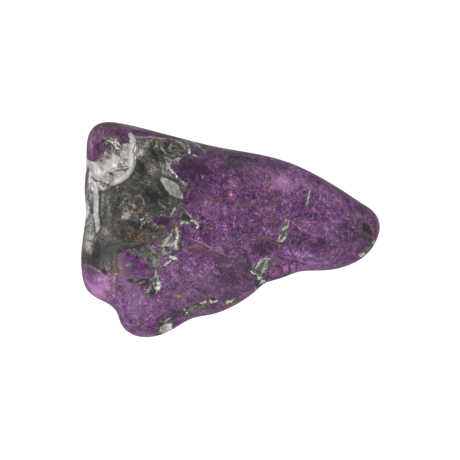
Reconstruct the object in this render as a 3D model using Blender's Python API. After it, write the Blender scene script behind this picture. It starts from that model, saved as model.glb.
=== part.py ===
"""Tumbled purpurite stone: one natural piece, rounded and polished by tumbling.

It lies on its broad underside, on the small flat that wear has left there. Units are metres and +Z is up.
+X runs along the stone to its narrow end, +Y across it, and the origin is the bottom centre of its box.

The skin is two sheets that meet all round at the stone's widest line, the rim. Each sheet is a set of worn
facets, run together where they meet, that turns over into a rounded shoulder near the rim.
"""

import math

import bmesh
import bpy
import numpy as np

MM = 0.001

# Driving dimensions of the whole stone
LENGTH = 50.0 * MM
WIDTH = 36.0 * MM
THICKNESS = 17.5 * MM

# Outline seen from above, in millimetres from the middle of its box, anticlockwise from the narrow end
OUTLINE = (
    (25.0, 0.9),
    (23.85, 3.2),
    (22.3, 4.3),
    (19.4, 6.2),
    (16.9, 7.75),
    (10.0, 11.2),
    (4.4, 12.7),
    (-1.8, 13.8),
    (-7.3, 15.1),
    (-11.9, 16.3),
    (-16.7, 17.5),
    (-18.8, 17.9),
    (-20.8, 18.0),
    (-22.5, 17.4),
    (-23.5, 16.1),
    (-23.9, 14.4),
    (-24.0, 11.0),
    (-24.3, 7.0),
    (-24.1, 3.0),
    (-24.5, -0.5),
    (-24.9, -4.1),
    (-24.8, -7.1),
    (-23.9, -10.0),
    (-22.2, -11.4),
    (-20.1, -12.5),
    (-18.9, -13.8),
    (-18.2, -15.7),
    (-16.6, -17.3),
    (-13.6, -17.9),
    (-10.8, -17.2),
    (-8.6, -16.0),
    (-6.4, -14.8),
    (-3.1, -14.1),
    (0.9, -12.5),
    (4.4, -10.05),
    (5.8, -8.9),
    (7.2, -8.4),
    (9.3, -7.75),
    (11.4, -7.0),
    (12.7, -6.83),
    (15.8, -6.75),
    (19.8, -5.9),
    (22.9, -4.0),
    (24.6, -1.4),
)

# The point that the outline's rays start from, in millimetres
HUB = (-3.0, 1.0)

# Edge all round: direction from the hub in degrees, then rim height, shoulder radius above it and below it, in mm
EDGE = (
    (0, 8.2, 3.2, 7.5),
    (24, 10.8, 2.6, 8.0),
    (62, 11.6, 2.4, 9.5),
    (96, 9.8, 2.6, 7.0),
    (139, 11.4, 2.6, 6.5),
    (172, 9.0, 2.8, 8.5),
    (204, 7.6, 3.6, 5.0),
    (227, 9.4, 2.6, 7.0),
    (243, 7.8, 3.6, 5.5),
    (276, 9.0, 3.0, 8.5),
    (315, 10.6, 2.4, 7.0),
    (339, 8.2, 3.2, 6.5),
)
SHOULDER_POWER = 2.2

# Worn facets: a point on each in millimetres (x, y, z), the compass direction it falls in, and its fall per millimetre
UPPER_FACETS = (
    (-8.0, 2.0, 17.6, 340, 0.05),
    (6.0, 0.0, 16.7, 352, 0.19),
    (-8.0, -8.0, 16.9, 262, 0.22),
    (-22.4, 3.0, 15.9, 182, 1.20),
    (-21.0, -9.0, 14.3, 222, 0.62),
    (-12.0, 14.9, 16.9, 76, 0.80),
    (12.0, 9.0, 15.0, 62, 0.45),
    (9.0, -6.0, 15.4, 284, 0.50),
)
UNDER_FACETS = (
    (-6.0, 0.0, -0.9, 0, 0.0),
    (7.0, 0.0, 0.3, 8, 0.22),
    (-4.0, 7.5, 0.4, 72, 0.28),
    (-14.0, 7.0, 0.6, 128, 0.34),
    (-16.0, -2.0, 0.4, 196, 0.24),
    (-7.0, -8.0, 0.4, 262, 0.30),
    (9.0, -5.0, 1.2, 304, 0.36),
)
FACET_BLEND = 0.45

# Hollows and lumps: middle (x, y), half length, half width, direction of its length, and height, negative if sunk
UPPER_RELIEF = (
    (-19.2, -10.2, 4.5, 1.0, 97, -0.6),
    (-0.5, -6.0, 7.5, 2.2, 153, -0.4),
    (-14.0, -12.5, 3.2, 2.6, 95, 0.4),
    (-21.7, -8.6, 2.4, 1.7, 120, 0.3),
    (5.6, -8.2, 1.9, 1.5, 125, -0.7),
    (-14.0, 10.0, 4.5, 2.6, 20, 0.2),
    (-5.0, 9.5, 4.0, 1.8, 165, -0.2),
    (14.0, 3.0, 5.5, 3.0, 160, 0.3),
    (23.0, 0.5, 0.9, 0.8, 0, -0.5),
)
UNDER_RELIEF = (
    (-15.0, 8.0, 5.0, 3.0, 30, -0.5),
    (12.0, 2.0, 5.0, 2.5, 170, -0.4),
    (-11.0, -12.0, 3.0, 2.5, 80, -0.4),
    (1.0, 7.0, 4.0, 1.6, 15, 0.6),
)

# The worn flat it lies on: the underside is cut off at height 0 and eased over this band, in millimetres
FLAT_EASE = 0.25

# Fineness of the two sheets and of the outline
GRID_STEPS = 46
OUTLINE_STEPS = 8

STONE_COLOUR = (0.135, 0.062, 0.150, 1.0)
STONE_ROUGHNESS = 0.38


def closed_curve(points, steps):
    """Smooth closed curve through the points: cubic spans whose slope and bend agree at each point."""
    points = np.array(points, dtype=float)
    after = np.roll(points, -1, axis=0)
    span = np.linalg.norm(after[:, :2] - points[:, :2], axis=1)
    count = len(points)
    rows = np.arange(count)
    before = (rows - 1) % count
    system = np.zeros((count, count))
    system[rows, before] = 1 / span[before]
    system[rows, rows] = 2 / span[before] + 2 / span
    system[rows, (rows + 1) % count] = 1 / span
    rise = (after - points) / span[:, None] ** 2
    slope = np.linalg.solve(system, 3 * (rise + rise[before]))
    t = (np.arange(steps) / steps)[None, :, None]
    reach = span[:, None, None]
    start = points[:, None, :]
    end = after[:, None, :]
    start_slope = slope[:, None, :] * reach
    end_slope = np.roll(slope, -1, axis=0)[:, None, :] * reach
    curve = (2 * t**3 - 3 * t**2 + 1) * start + (t**3 - 2 * t**2 + t) * start_slope
    curve = curve + (3 * t**2 - 2 * t**3) * end + (t**3 - t**2) * end_slope
    return curve.reshape(-1, points.shape[1])


def fitted_outline():
    """The outline as a fine closed curve, in millimetres, scaled so that its box is LENGTH by WIDTH."""
    curve = closed_curve(OUTLINE, OUTLINE_STEPS)
    low = curve.min(axis=0)
    high = curve.max(axis=0)
    size = np.array((LENGTH, WIDTH)) / MM
    return (curve - (low + high) / 2) * size / (high - low)


def around(angle, table):
    """Values of a table of (degrees, value, ...) rows at these angles, eased smoothly from row to row."""
    table = np.array(table, dtype=float)
    turns = np.concatenate((table[:, 0], [table[0, 0] + 360]))
    values = np.vstack((table[:, 1:], table[:1, 1:]))
    degrees = np.degrees(angle) % 360
    row = np.searchsorted(turns, degrees, side="right") - 1
    part = (degrees - turns[row]) / (turns[row + 1] - turns[row])
    ease = (0.5 - 0.5 * np.cos(np.pi * part))[:, None]
    return (values[row] * (1 - ease) + values[row + 1] * ease).T


def depth_inside(x, y, outline):
    """How far each point lies inside the outline, as a smooth field with no ridge along its middle.

    The sum of 1 / distance^4 along a straight edge at distance h is pi / (2 h^3), so the sum over the whole
    outline, turned back into a distance, is the true depth near the edge and an even average further in.
    """
    start = outline
    end = np.roll(outline, -1, axis=0)
    along = end - start
    length = np.linalg.norm(along, axis=1)
    along = along / length[:, None]
    total = np.zeros(len(x))
    for a, direction, reach in zip(start, along, length):
        dx = x - a[0]
        dy = y - a[1]
        first = -(dx * direction[0] + dy * direction[1])
        last = first + reach
        h = np.abs(dx * direction[1] - dy * direction[0]) + 1e-6
        turn = np.arctan(last / h) - np.arctan(first / h)
        rest = last * h / (last**2 + h**2) - first * h / (first**2 + h**2)
        total += (turn + rest) / (2 * h**3)
    return (2 / math.pi * total) ** (-1 / 3)


def facet_planes(x, y, table, sign):
    """Height of each facet's plane at these points: its own height, falling (sign -1) or rising (+1) its way."""
    planes = []
    for px, py, height, direction, fall in table:
        angle = math.radians(direction)
        along = (x - px) * math.cos(angle) + (y - py) * math.sin(angle)
        planes.append(height + sign * along * fall)
    return np.array(planes)


def relief(x, y, table):
    """Sum of soft round hollows and lumps, each exp(-r^2) in its own stretched and turned directions."""
    total = np.zeros(len(x))
    for px, py, half_length, half_width, direction, height in table:
        angle = math.radians(direction)
        along = (x - px) * math.cos(angle) + (y - py) * math.sin(angle)
        across = (y - py) * math.cos(angle) - (x - px) * math.sin(angle)
        total += height * np.exp(-((along / half_length) ** 2) - (across / half_width) ** 2)
    return total


def upper_face(x, y):
    """The lowest of the upper facets at each point, run together softly, with its relief."""
    planes = facet_planes(x, y, UPPER_FACETS, -1)
    lowest = planes.min(axis=0)
    soft = lowest - FACET_BLEND * np.log(np.exp((lowest - planes) / FACET_BLEND).sum(axis=0))
    return soft + relief(x, y, UPPER_RELIEF)


def under_face(x, y):
    """The highest of the under facets at each point, run together softly, with its relief."""
    planes = facet_planes(x, y, UNDER_FACETS, 1)
    highest = planes.max(axis=0)
    soft = highest + FACET_BLEND * np.log(np.exp((planes - highest) / FACET_BLEND).sum(axis=0))
    return soft + relief(x, y, UNDER_RELIEF)


def shoulder(depth, radius):
    """Share of the face's height reached at this depth: a rounded quarter turn that starts upright at the rim."""
    inward = 1 - np.clip(depth / radius, 0, 1)
    return (1 - inward**SHOULDER_POWER) ** (1 / SHOULDER_POWER)


def cut_flat(z):
    """Cuts the underside off at height 0, with a short curved ease where it meets the flat."""
    eased = (z + FLAT_EASE) ** 2 / (4 * FLAT_EASE)
    return np.where(z > FLAT_EASE, z, np.where(z < -FLAT_EASE, 0.0, eased))


def sheet_points(u, v, upper):
    """Points of the upper or the under sheet, in millimetres, at places u, v of a square from -1 to 1.

    Squares around the middle of the grid become rings around the hub, and each ring is a smaller copy of the
    outline. The rings crowd towards the rim, where the shoulder is steepest.
    """
    outline = fitted_outline()
    ring = np.maximum(np.abs(u), np.abs(v))
    wide = np.abs(u) > np.abs(v)
    safe_u = np.where(wide, u, 1.0)
    safe_v = np.where(wide | (v == 0), 1.0, v)
    angle = np.where(wide, math.pi / 4 * v / safe_u, math.pi / 2 - math.pi / 4 * u / safe_v)
    angle = angle + np.where(np.where(wide, u, v) < 0, math.pi, 0.0)
    angle = angle % (2 * math.pi)
    spoke = outline - HUB
    spoke_angle = np.arctan2(spoke[:, 1], spoke[:, 0]) % (2 * math.pi)
    order = np.argsort(spoke_angle)
    reach = np.interp(angle, spoke_angle[order], np.hypot(*spoke.T)[order], period=2 * math.pi)
    share = np.sqrt(np.sin(math.pi / 2 * ring**2))
    x = HUB[0] + share * reach * np.cos(angle)
    y = HUB[1] + share * reach * np.sin(angle)
    on_rim = ring > 1 - 1e-9
    depth = np.where(on_rim, 0.0, depth_inside(x, y, outline))
    rim, above, below = around(angle, EDGE)
    if upper:
        z = rim + (upper_face(x, y) - rim) * shoulder(depth, above)
    else:
        z = cut_flat(rim - (rim - under_face(x, y)) * shoulder(depth, below))
    return x, y, z


def add_sheet(bm, upper):
    """One square grid laid over the stone, each square split towards the middle, facing outwards."""
    grid = bmesh.ops.create_grid(bm, x_segments=GRID_STEPS, y_segments=GRID_STEPS, size=1.0)
    verts = grid["verts"]
    places = np.array([vert.co[:2] for vert in verts], dtype=float)
    faces = list({face for vert in verts for face in vert.link_faces})
    faces.sort(key=lambda face: min(vert.index for vert in face.verts))
    for face in faces:
        corners = sorted(face.verts, key=lambda vert: abs(vert.co.x) + abs(vert.co.y))
        bmesh.utils.face_split(face, corners[0], corners[-1])
    x, y, z = sheet_points(places[:, 0], places[:, 1], upper)
    for vert, point in zip(verts, zip(x * MM, y * MM, z * MM)):
        vert.co = point
    if not upper:
        bmesh.ops.reverse_faces(bm, faces=list({face for vert in verts for face in vert.link_faces}))


def stone_material():
    """The stone's own colour: satin-polished purple."""
    material = bpy.data.materials.new("purpurite")
    material.use_nodes = True
    shader = material.node_tree.nodes["Principled BSDF"]
    shader.inputs["Base Color"].default_value = STONE_COLOUR
    shader.inputs["Roughness"].default_value = STONE_ROUGHNESS
    shader.inputs["Metallic"].default_value = 0.0
    return material


def add_stone():
    """The stone as one closed body with both sheets welded at the rim."""
    bm = bmesh.new()
    add_sheet(bm, upper=True)
    add_sheet(bm, upper=False)
    bmesh.ops.remove_doubles(bm, verts=bm.verts, dist=1e-7)
    highest = max(vert.co.z for vert in bm.verts)
    bmesh.ops.scale(bm, vec=(1, 1, THICKNESS / highest), verts=bm.verts)
    mesh = bpy.data.meshes.new("stone")
    bm.to_mesh(mesh)
    bm.free()
    mesh.shade_smooth()
    mesh.materials.append(stone_material())
    stone = bpy.data.objects.new("stone", mesh)
    bpy.context.scene.collection.objects.link(stone)


def main():
    for old in list(bpy.data.objects):
        bpy.data.objects.remove(old)
    add_stone()


main()
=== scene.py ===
"""A tumbled purpurite stone: its worn form, grown-in rock, veins and stains, and a plain studio around it.

The stone's skin is worked out on a fine grid from the same facets and outline as its solid. Its marks are
placed on a chart of the face, and the shader breaks their edges up and adds the grain.
"""

import itertools
import math

import bpy
import numpy as np
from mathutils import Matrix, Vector


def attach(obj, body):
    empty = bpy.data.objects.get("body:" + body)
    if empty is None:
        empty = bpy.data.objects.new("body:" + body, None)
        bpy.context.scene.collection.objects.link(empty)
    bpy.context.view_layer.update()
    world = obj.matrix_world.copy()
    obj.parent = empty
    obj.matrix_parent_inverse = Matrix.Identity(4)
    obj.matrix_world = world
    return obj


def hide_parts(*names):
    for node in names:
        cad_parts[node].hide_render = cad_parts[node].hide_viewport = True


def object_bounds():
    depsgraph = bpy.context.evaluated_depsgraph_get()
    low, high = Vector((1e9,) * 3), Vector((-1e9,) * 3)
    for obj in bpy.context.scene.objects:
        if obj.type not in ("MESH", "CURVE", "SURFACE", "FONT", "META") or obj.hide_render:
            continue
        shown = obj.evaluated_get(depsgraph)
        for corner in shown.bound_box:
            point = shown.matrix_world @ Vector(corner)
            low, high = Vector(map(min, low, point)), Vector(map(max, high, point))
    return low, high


bl_info = {
    "name": "Tumbled Purpurite Stone",
    "version": (1, 0, 0),
    "blender": (4, 5, 0),
    "location": "View3D > Sidebar > Stone",
    "description": "Builds a tumbled purpurite stone and a plain studio around it",
    "category": "Add Mesh",
}

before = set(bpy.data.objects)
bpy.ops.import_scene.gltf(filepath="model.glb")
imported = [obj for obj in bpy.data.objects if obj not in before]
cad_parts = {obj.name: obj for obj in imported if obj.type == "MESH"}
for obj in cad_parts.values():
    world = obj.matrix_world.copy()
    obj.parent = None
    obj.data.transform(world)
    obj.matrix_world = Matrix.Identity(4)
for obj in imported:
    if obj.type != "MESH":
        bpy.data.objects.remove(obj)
CAD_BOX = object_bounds()
CAD_SIZE = CAD_BOX[1] - CAD_BOX[0]

MM = 0.001

# Outline seen from above, in millimetres from the middle of its box, anticlockwise from the narrow end
OUTLINE = (
    (25.0, 0.9),
    (23.85, 3.2),
    (22.3, 4.3),
    (19.4, 6.2),
    (16.9, 7.75),
    (10.0, 11.2),
    (4.4, 12.7),
    (-1.8, 13.8),
    (-7.3, 15.1),
    (-11.9, 16.3),
    (-16.7, 17.5),
    (-18.8, 17.9),
    (-20.8, 18.0),
    (-22.5, 17.4),
    (-23.5, 16.1),
    (-23.9, 14.4),
    (-24.0, 11.0),
    (-24.3, 7.0),
    (-24.1, 3.0),
    (-24.5, -0.5),
    (-24.9, -4.1),
    (-24.8, -7.1),
    (-23.9, -10.0),
    (-22.2, -11.4),
    (-20.1, -12.5),
    (-18.9, -13.8),
    (-18.2, -15.7),
    (-16.6, -17.3),
    (-13.6, -17.9),
    (-10.8, -17.2),
    (-8.6, -16.0),
    (-6.4, -14.8),
    (-3.1, -14.1),
    (0.9, -12.5),
    (4.4, -10.05),
    (5.8, -8.9),
    (7.2, -8.4),
    (9.3, -7.75),
    (11.4, -7.0),
    (12.7, -6.83),
    (15.8, -6.75),
    (19.8, -5.9),
    (22.9, -4.0),
    (24.6, -1.4),
)
OUTLINE_STEPS = 24

# The point that the outline's rays start from, in millimetres
HUB = (-3.0, 1.0)

# Edge all round: direction from the hub in degrees, then in millimetres the rim's height and the radii of the
# shoulders above and below it. The power sets how square both shoulders are.
EDGE = (
    (0, 8.2, 3.2, 7.5),
    (24, 10.8, 2.6, 8.0),
    (62, 11.6, 2.4, 9.5),
    (96, 9.8, 2.6, 7.0),
    (139, 11.4, 2.6, 6.5),
    (172, 9.0, 2.8, 8.5),
    (204, 7.6, 3.6, 5.0),
    (227, 9.4, 2.6, 7.0),
    (243, 7.8, 3.6, 5.5),
    (276, 9.0, 3.0, 8.5),
    (315, 10.6, 2.4, 7.0),
    (339, 8.2, 3.2, 6.5),
)
SHOULDER_POWER = 2.2

# Worn facets: a point on each (x, y, z in millimetres), a direction in degrees anticlockwise from X, and the
# slope that way, down for an upper and up for an under facet. The blend rounds their joins, in millimetres.
UPPER_FACETS = (
    (-8.0, 2.0, 17.6, 340, 0.05),
    (6.0, 0.0, 16.7, 352, 0.19),
    (-8.0, -8.0, 16.9, 262, 0.22),
    (-22.4, 3.0, 15.9, 182, 1.20),
    (-21.0, -9.0, 14.3, 222, 0.62),
    (-12.0, 14.9, 16.9, 76, 0.80),
    (12.0, 9.0, 15.0, 62, 0.45),
    (9.0, -6.0, 15.4, 284, 0.50),
)
UNDER_FACETS = (
    (-6.0, 0.0, -0.9, 0, 0.0),
    (7.0, 0.0, 0.3, 8, 0.22),
    (-4.0, 7.5, 0.4, 72, 0.28),
    (-14.0, 7.0, 0.6, 128, 0.34),
    (-16.0, -2.0, 0.4, 196, 0.24),
    (-7.0, -8.0, 0.4, 262, 0.30),
    (9.0, -5.0, 1.2, 304, 0.36),
)
FACET_BLEND = 0.45

# Hollows and lumps in millimetres: middle (x, y), half length, half width, the length's direction in degrees
# anticlockwise from X, and height, negative if sunk
UPPER_RELIEF = (
    (-19.2, -10.2, 4.5, 1.0, 97, -0.6),
    (-0.5, -6.0, 7.5, 2.2, 153, -0.4),
    (-14.0, -12.5, 3.2, 2.6, 95, 0.4),
    (-21.7, -8.6, 2.4, 1.7, 120, 0.3),
    (5.6, -8.2, 1.9, 1.5, 125, -0.7),
    (-14.0, 10.0, 4.5, 2.6, 20, 0.2),
    (-5.0, 9.5, 4.0, 1.8, 165, -0.2),
    (14.0, 3.0, 5.5, 3.0, 160, 0.3),
    (23.0, 0.5, 0.9, 0.8, 0, -0.5),
)
UNDER_RELIEF = (
    (-15.0, 8.0, 5.0, 3.0, 30, -0.5),
    (12.0, 2.0, 5.0, 2.5, 170, -0.4),
    (-11.0, -12.0, 3.0, 2.5, 80, -0.4),
    (1.0, 7.0, 4.0, 1.6, 15, 0.6),
)

# The worn flat it lies on: the underside is cut off at height 0 and eased over this band, in millimetres
FLAT_EASE = 0.25

# Marks are placed on a square chart of the face, with X to the right and Y down: its width in its own units,
# those units to a millimetre, and the place on it that lies over the middle of the stone's box
CHART_WIDTH = 460
CHART_SCALE = 5.98
CHART_MIDDLE = (230.4, 229.7)

# A patch is a closed outline of chart places. A stroke is a line of chart places, each with a half width.
# A spot is a chart place, half length, half width, direction of its length in degrees clockwise and amount.

# The grey rock: the large piece at the broad end, and the small ones in the purple and along the lower edge
ROCK_PATCHES = (
    (
        (126.5, 136), (129, 133), (138, 137), (150, 137), (165, 138.5), (180, 140), (186, 137), (194, 139),
        (193, 146), (191, 152), (188, 156), (183, 157), (181, 161), (176, 164), (170, 165), (173, 171),
        (178, 176), (183, 181), (188, 185), (186, 190), (184, 197), (183, 204), (180, 209), (176, 214),
        (174, 219), (177, 225), (180, 231), (181, 240), (182, 249), (176, 252), (168, 255), (162, 258),
        (160, 264), (158, 270), (152, 270), (149, 265), (145, 259), (139, 256), (133, 253.5), (127, 251),
        (121.5, 252), (119, 257), (118.5, 264), (117, 271), (113.5, 275), (110.5, 272), (107, 273.5),
        (102, 270.5), (95, 268.5), (88, 266), (83, 263), (76, 256), (74, 230), (78, 200), (79, 165),
        (82, 156), (87, 157), (90, 161.5), (94, 162.3), (99, 160.5), (103, 155.5), (107, 152.5), (112, 151.5),
        (114.5, 149), (116.5, 145.5), (120, 143.5), (125, 143.5), (129, 143), (129.5, 139),
    ),
    (
        (101.5, 141), (104, 139), (108, 139), (113, 137), (119, 139.5), (121, 144), (117, 149), (112, 148.5),
        (106, 146),
    ),
    (
        (185, 209), (189, 213), (193, 218), (198, 221), (200, 226), (197, 227), (193, 222.5), (189, 224.5),
        (180, 224),
    ),
    (
        (288.5, 218), (289, 223), (288, 229), (287, 235), (284, 240.5), (280, 243), (276.5, 243), (277, 238),
        (279, 232), (281, 226), (284, 221),
    ),
    (
        (182, 312), (186, 307), (192, 303.5), (200, 301), (207, 298.5), (213, 297.5), (218, 300), (211, 304),
        (203, 308.5), (196, 311), (190, 314.5), (184, 317),
    ),
    (
        (255.5, 266), (258, 261), (263, 257.5), (268.5, 258), (269, 263), (268.5, 269), (266, 275),
        (263.5, 280), (259, 280.5), (256, 277), (252, 274.5), (249.5, 272), (251, 268.5), (252, 265),
        (254, 264.5),
    ),
    (
        (156, 333), (157.5, 329), (159, 325), (158, 321.5), (160.5, 320), (164, 321), (167, 318.5),
        (170.5, 317), (173.5, 317.5), (175.5, 320.5), (173.5, 324.5), (172, 329), (165, 335.5), (158, 336),
    ),
    (
        (371, 241), (376, 239.5), (376, 243), (371, 246), (370, 251), (366, 255), (360.5, 259),
        (357.5, 255.5), (360, 253), (364, 252), (367.5, 248), (369.5, 244.5),
    ),
)
ROCK_STROKES = (
    ((164, 265.5, 0.9), (168, 262, 2), (172, 259, 3), (175, 256.5, 2.6), (177, 258, 1.2)),
    ((129, 279, 1.2), (133, 280.5, 1.8), (137, 281, 1.8), (143, 281.5, 3), (150, 282, 3.6)),
    ((154, 268, 2.2), (156, 274, 3), (157, 281, 4.4), (155, 288, 5.4), (150, 292, 4.2), (146, 293, 2.4)),
    ((223, 303.5, 1.6), (228, 302, 2.8), (233, 301, 3), (238, 300.5, 1.8)),
    ((190, 141, 2.5), (197, 143, 3), (202, 146, 2.6), (206, 151, 2.4), (208, 155, 1.4)),
    ((255, 289, 1.6), (258, 284, 2.4), (262, 282.5, 3), (266, 283, 2)),
    ((192, 156, 0.8), (197, 157, 1)),
    ((266, 259, 1.4), (272, 258, 0.9), (278, 257.5, 0.5)),
    ((279, 244.5, 1.6), (279, 247, 1.3)),
    ((310.3, 190.5, 1.6), (309.3, 195, 2.2), (308, 200, 1.8), (306.5, 206, 1.2)),
    ((124, 266, 1.2), (127, 264, 2), (131, 265, 1.4)),
    ((116.5, 273.5, 0.9), (117, 273.5, 0.9)),
)

# Purple that shows within the rock
PURPLE_PATCHES = (
    (
        (153, 221), (157, 217.5), (163, 216.5), (170, 217), (173.5, 219), (171, 223), (165, 225.5),
        (158, 224.5),
    ),
    ((165, 227), (170, 226), (173, 229), (170, 232), (166, 231)),
    ((150, 241), (154, 240), (158, 244), (159, 249), (155, 250), (151, 246)),
    ((166, 247), (169, 245.5), (171, 248.5), (169.5, 251.5), (166.5, 251)),
    ((172, 251), (175, 249.5), (178, 251), (177, 254), (173, 254)),
)
PURPLE_STROKES = (
    ((89, 166, 0.5), (88.6, 173, 1.3), (87.4, 181, 1.4), (86, 190, 1.2), (85, 196, 0.6)),
    ((131, 217, 1), (134, 217.5, 1.4), (136, 219, 0.8)),
)

# Pale quartz in the rock
PALE_PATCHES = (
    (
        (84, 154.5), (88.5, 160), (94, 161), (99, 160), (103.5, 156), (106.5, 152.5), (111, 151), (117, 149),
        (124, 145), (130, 144), (133, 152), (132, 165), (128, 172), (122, 178), (113, 183.5), (105, 187),
        (100, 191), (93, 191), (89, 183),
    ),
    (
        (161, 177.5), (167, 179), (173, 181), (178, 185), (181, 191), (183.5, 199), (176, 197.5), (170, 194),
        (165, 187),
    ),
    (
        (160, 330), (162.5, 326.5), (166, 324.5), (169.5, 324), (172.5, 325), (172, 329), (166, 333),
        (161.5, 332.5),
    ),
    (
        (156, 271), (158, 276.5), (160.5, 281), (161.5, 287), (158, 290.5), (154.5, 288), (154, 282),
        (155, 276),
    ),
    ((371.5, 242), (375, 241), (374.5, 243.5), (372, 244.5)),
    ((358, 254.5), (361, 253.5), (365, 253.5), (365, 256), (360.5, 257)),
)
PALE_STROKES = (
    (
        (130.5, 134, 1.6), (133, 139, 2.8), (133.5, 146, 3), (132.6, 154, 3.3), (132.9, 163, 3.6),
        (130.3, 171, 3.6),
    ),
    ((130.3, 171, 3.6), (125, 177.5, 2.8), (117, 182.5, 2), (108, 187.2, 1.4), (101, 190, 1.1)),
    ((96, 186, 3.4), (96.5, 196, 2.4), (96, 206, 2.3), (96.5, 216, 2.6), (98, 224, 2.6), (97, 231, 1.5)),
    ((86, 203, 1), (87.5, 209, 1.8), (86.5, 217, 1.4)),
    ((111, 141, 1.6), (115, 141, 2.6), (118, 146, 2.6), (122, 148, 2.6)),
    ((171, 256, 1.6), (175, 258, 1.8), (177, 260, 1)),
    ((165, 265, 0.7), (169, 262, 1), (171, 260.5, 0.8)),
    ((149.5, 289, 0.5), (152, 286, 0.7)),
    ((147, 292, 0.4), (150, 291, 0.6)),
    ((140.5, 282, 0.5), (143.5, 281.5, 0.8), (146, 281, 0.5)),
    ((149, 282, 0.6), (151.5, 280.5, 0.7)),
    ((183, 310, 0.8), (185, 309, 1)),
    ((116.7, 274, 0.9), (117, 274, 0.9)),
    ((186, 314, 0.7), (188, 312, 1)),
    ((201, 303.5, 0.8), (204, 302.5, 1.5), (207, 301.5, 0.9)),
    ((210, 299.5, 0.6), (211, 302, 0.8)),
    ((214, 301.5, 0.6), (217, 301, 0.9)),
    ((227, 303.3, 0.6), (230, 301.8, 0.9), (233.5, 300.5, 0.6)),
    ((253, 265, 0.6), (253.6, 267, 0.7)),
    ((250.8, 270, 0.7), (252, 272.5, 1), (254.6, 273.6, 0.8)),
    ((256.5, 267, 0.4), (258, 264, 0.5), (261.5, 260.5, 0.4)),
    ((265, 258.3, 0.5), (267.5, 258.3, 0.5)),
    ((268, 260, 0.5), (270.5, 258.5, 0.6)),
    ((257, 277.5, 1), (260, 279.5, 1.4), (262, 277.5, 1)),
    ((260.5, 283.5, 1), (263, 281, 1.4), (265.5, 281, 0.7)),
    ((255.5, 289, 0.8), (257, 286.5, 0.9)),
    ((281, 229, 0.5), (282, 225, 0.7), (285.5, 220.5, 0.6)),
    ((289, 220.5, 0.5), (288.3, 225, 0.6)),
    ((283, 230, 0.9), (285, 227.5, 1.4), (287, 227.5, 0.8)),
    ((286.7, 233, 0.7), (285.5, 237, 1.1), (282.5, 240, 1), (279.5, 241.5, 0.7)),
    ((280.5, 234, 0.8), (278.8, 238, 1.2), (278, 241, 0.7)),
    ((279, 245, 0.9), (279, 247, 0.9)),
    ((309, 191, 0.9), (308, 196, 1.2), (307.5, 201, 0.8), (306, 205, 0.6)),
    ((185, 210, 0.3), (189, 214.5, 0.5), (192, 218.5, 0.6)),
    ((190.5, 220, 0.8), (195, 221.5, 1.4), (198, 225, 1.1)),
    ((181, 223.5, 0.7), (185, 222, 1.3), (189, 223, 1)),
    ((196, 143.5, 0.7), (200, 147.5, 0.9)),
    ((201.5, 149, 0.9), (204.5, 152.5, 1.1)),
    ((193, 156, 0.6), (197, 157, 0.7)),
    ((189, 150, 1), (190, 154, 0.8)),
    ((191, 140.5, 1), (194, 142, 1.2)),
)

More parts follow.
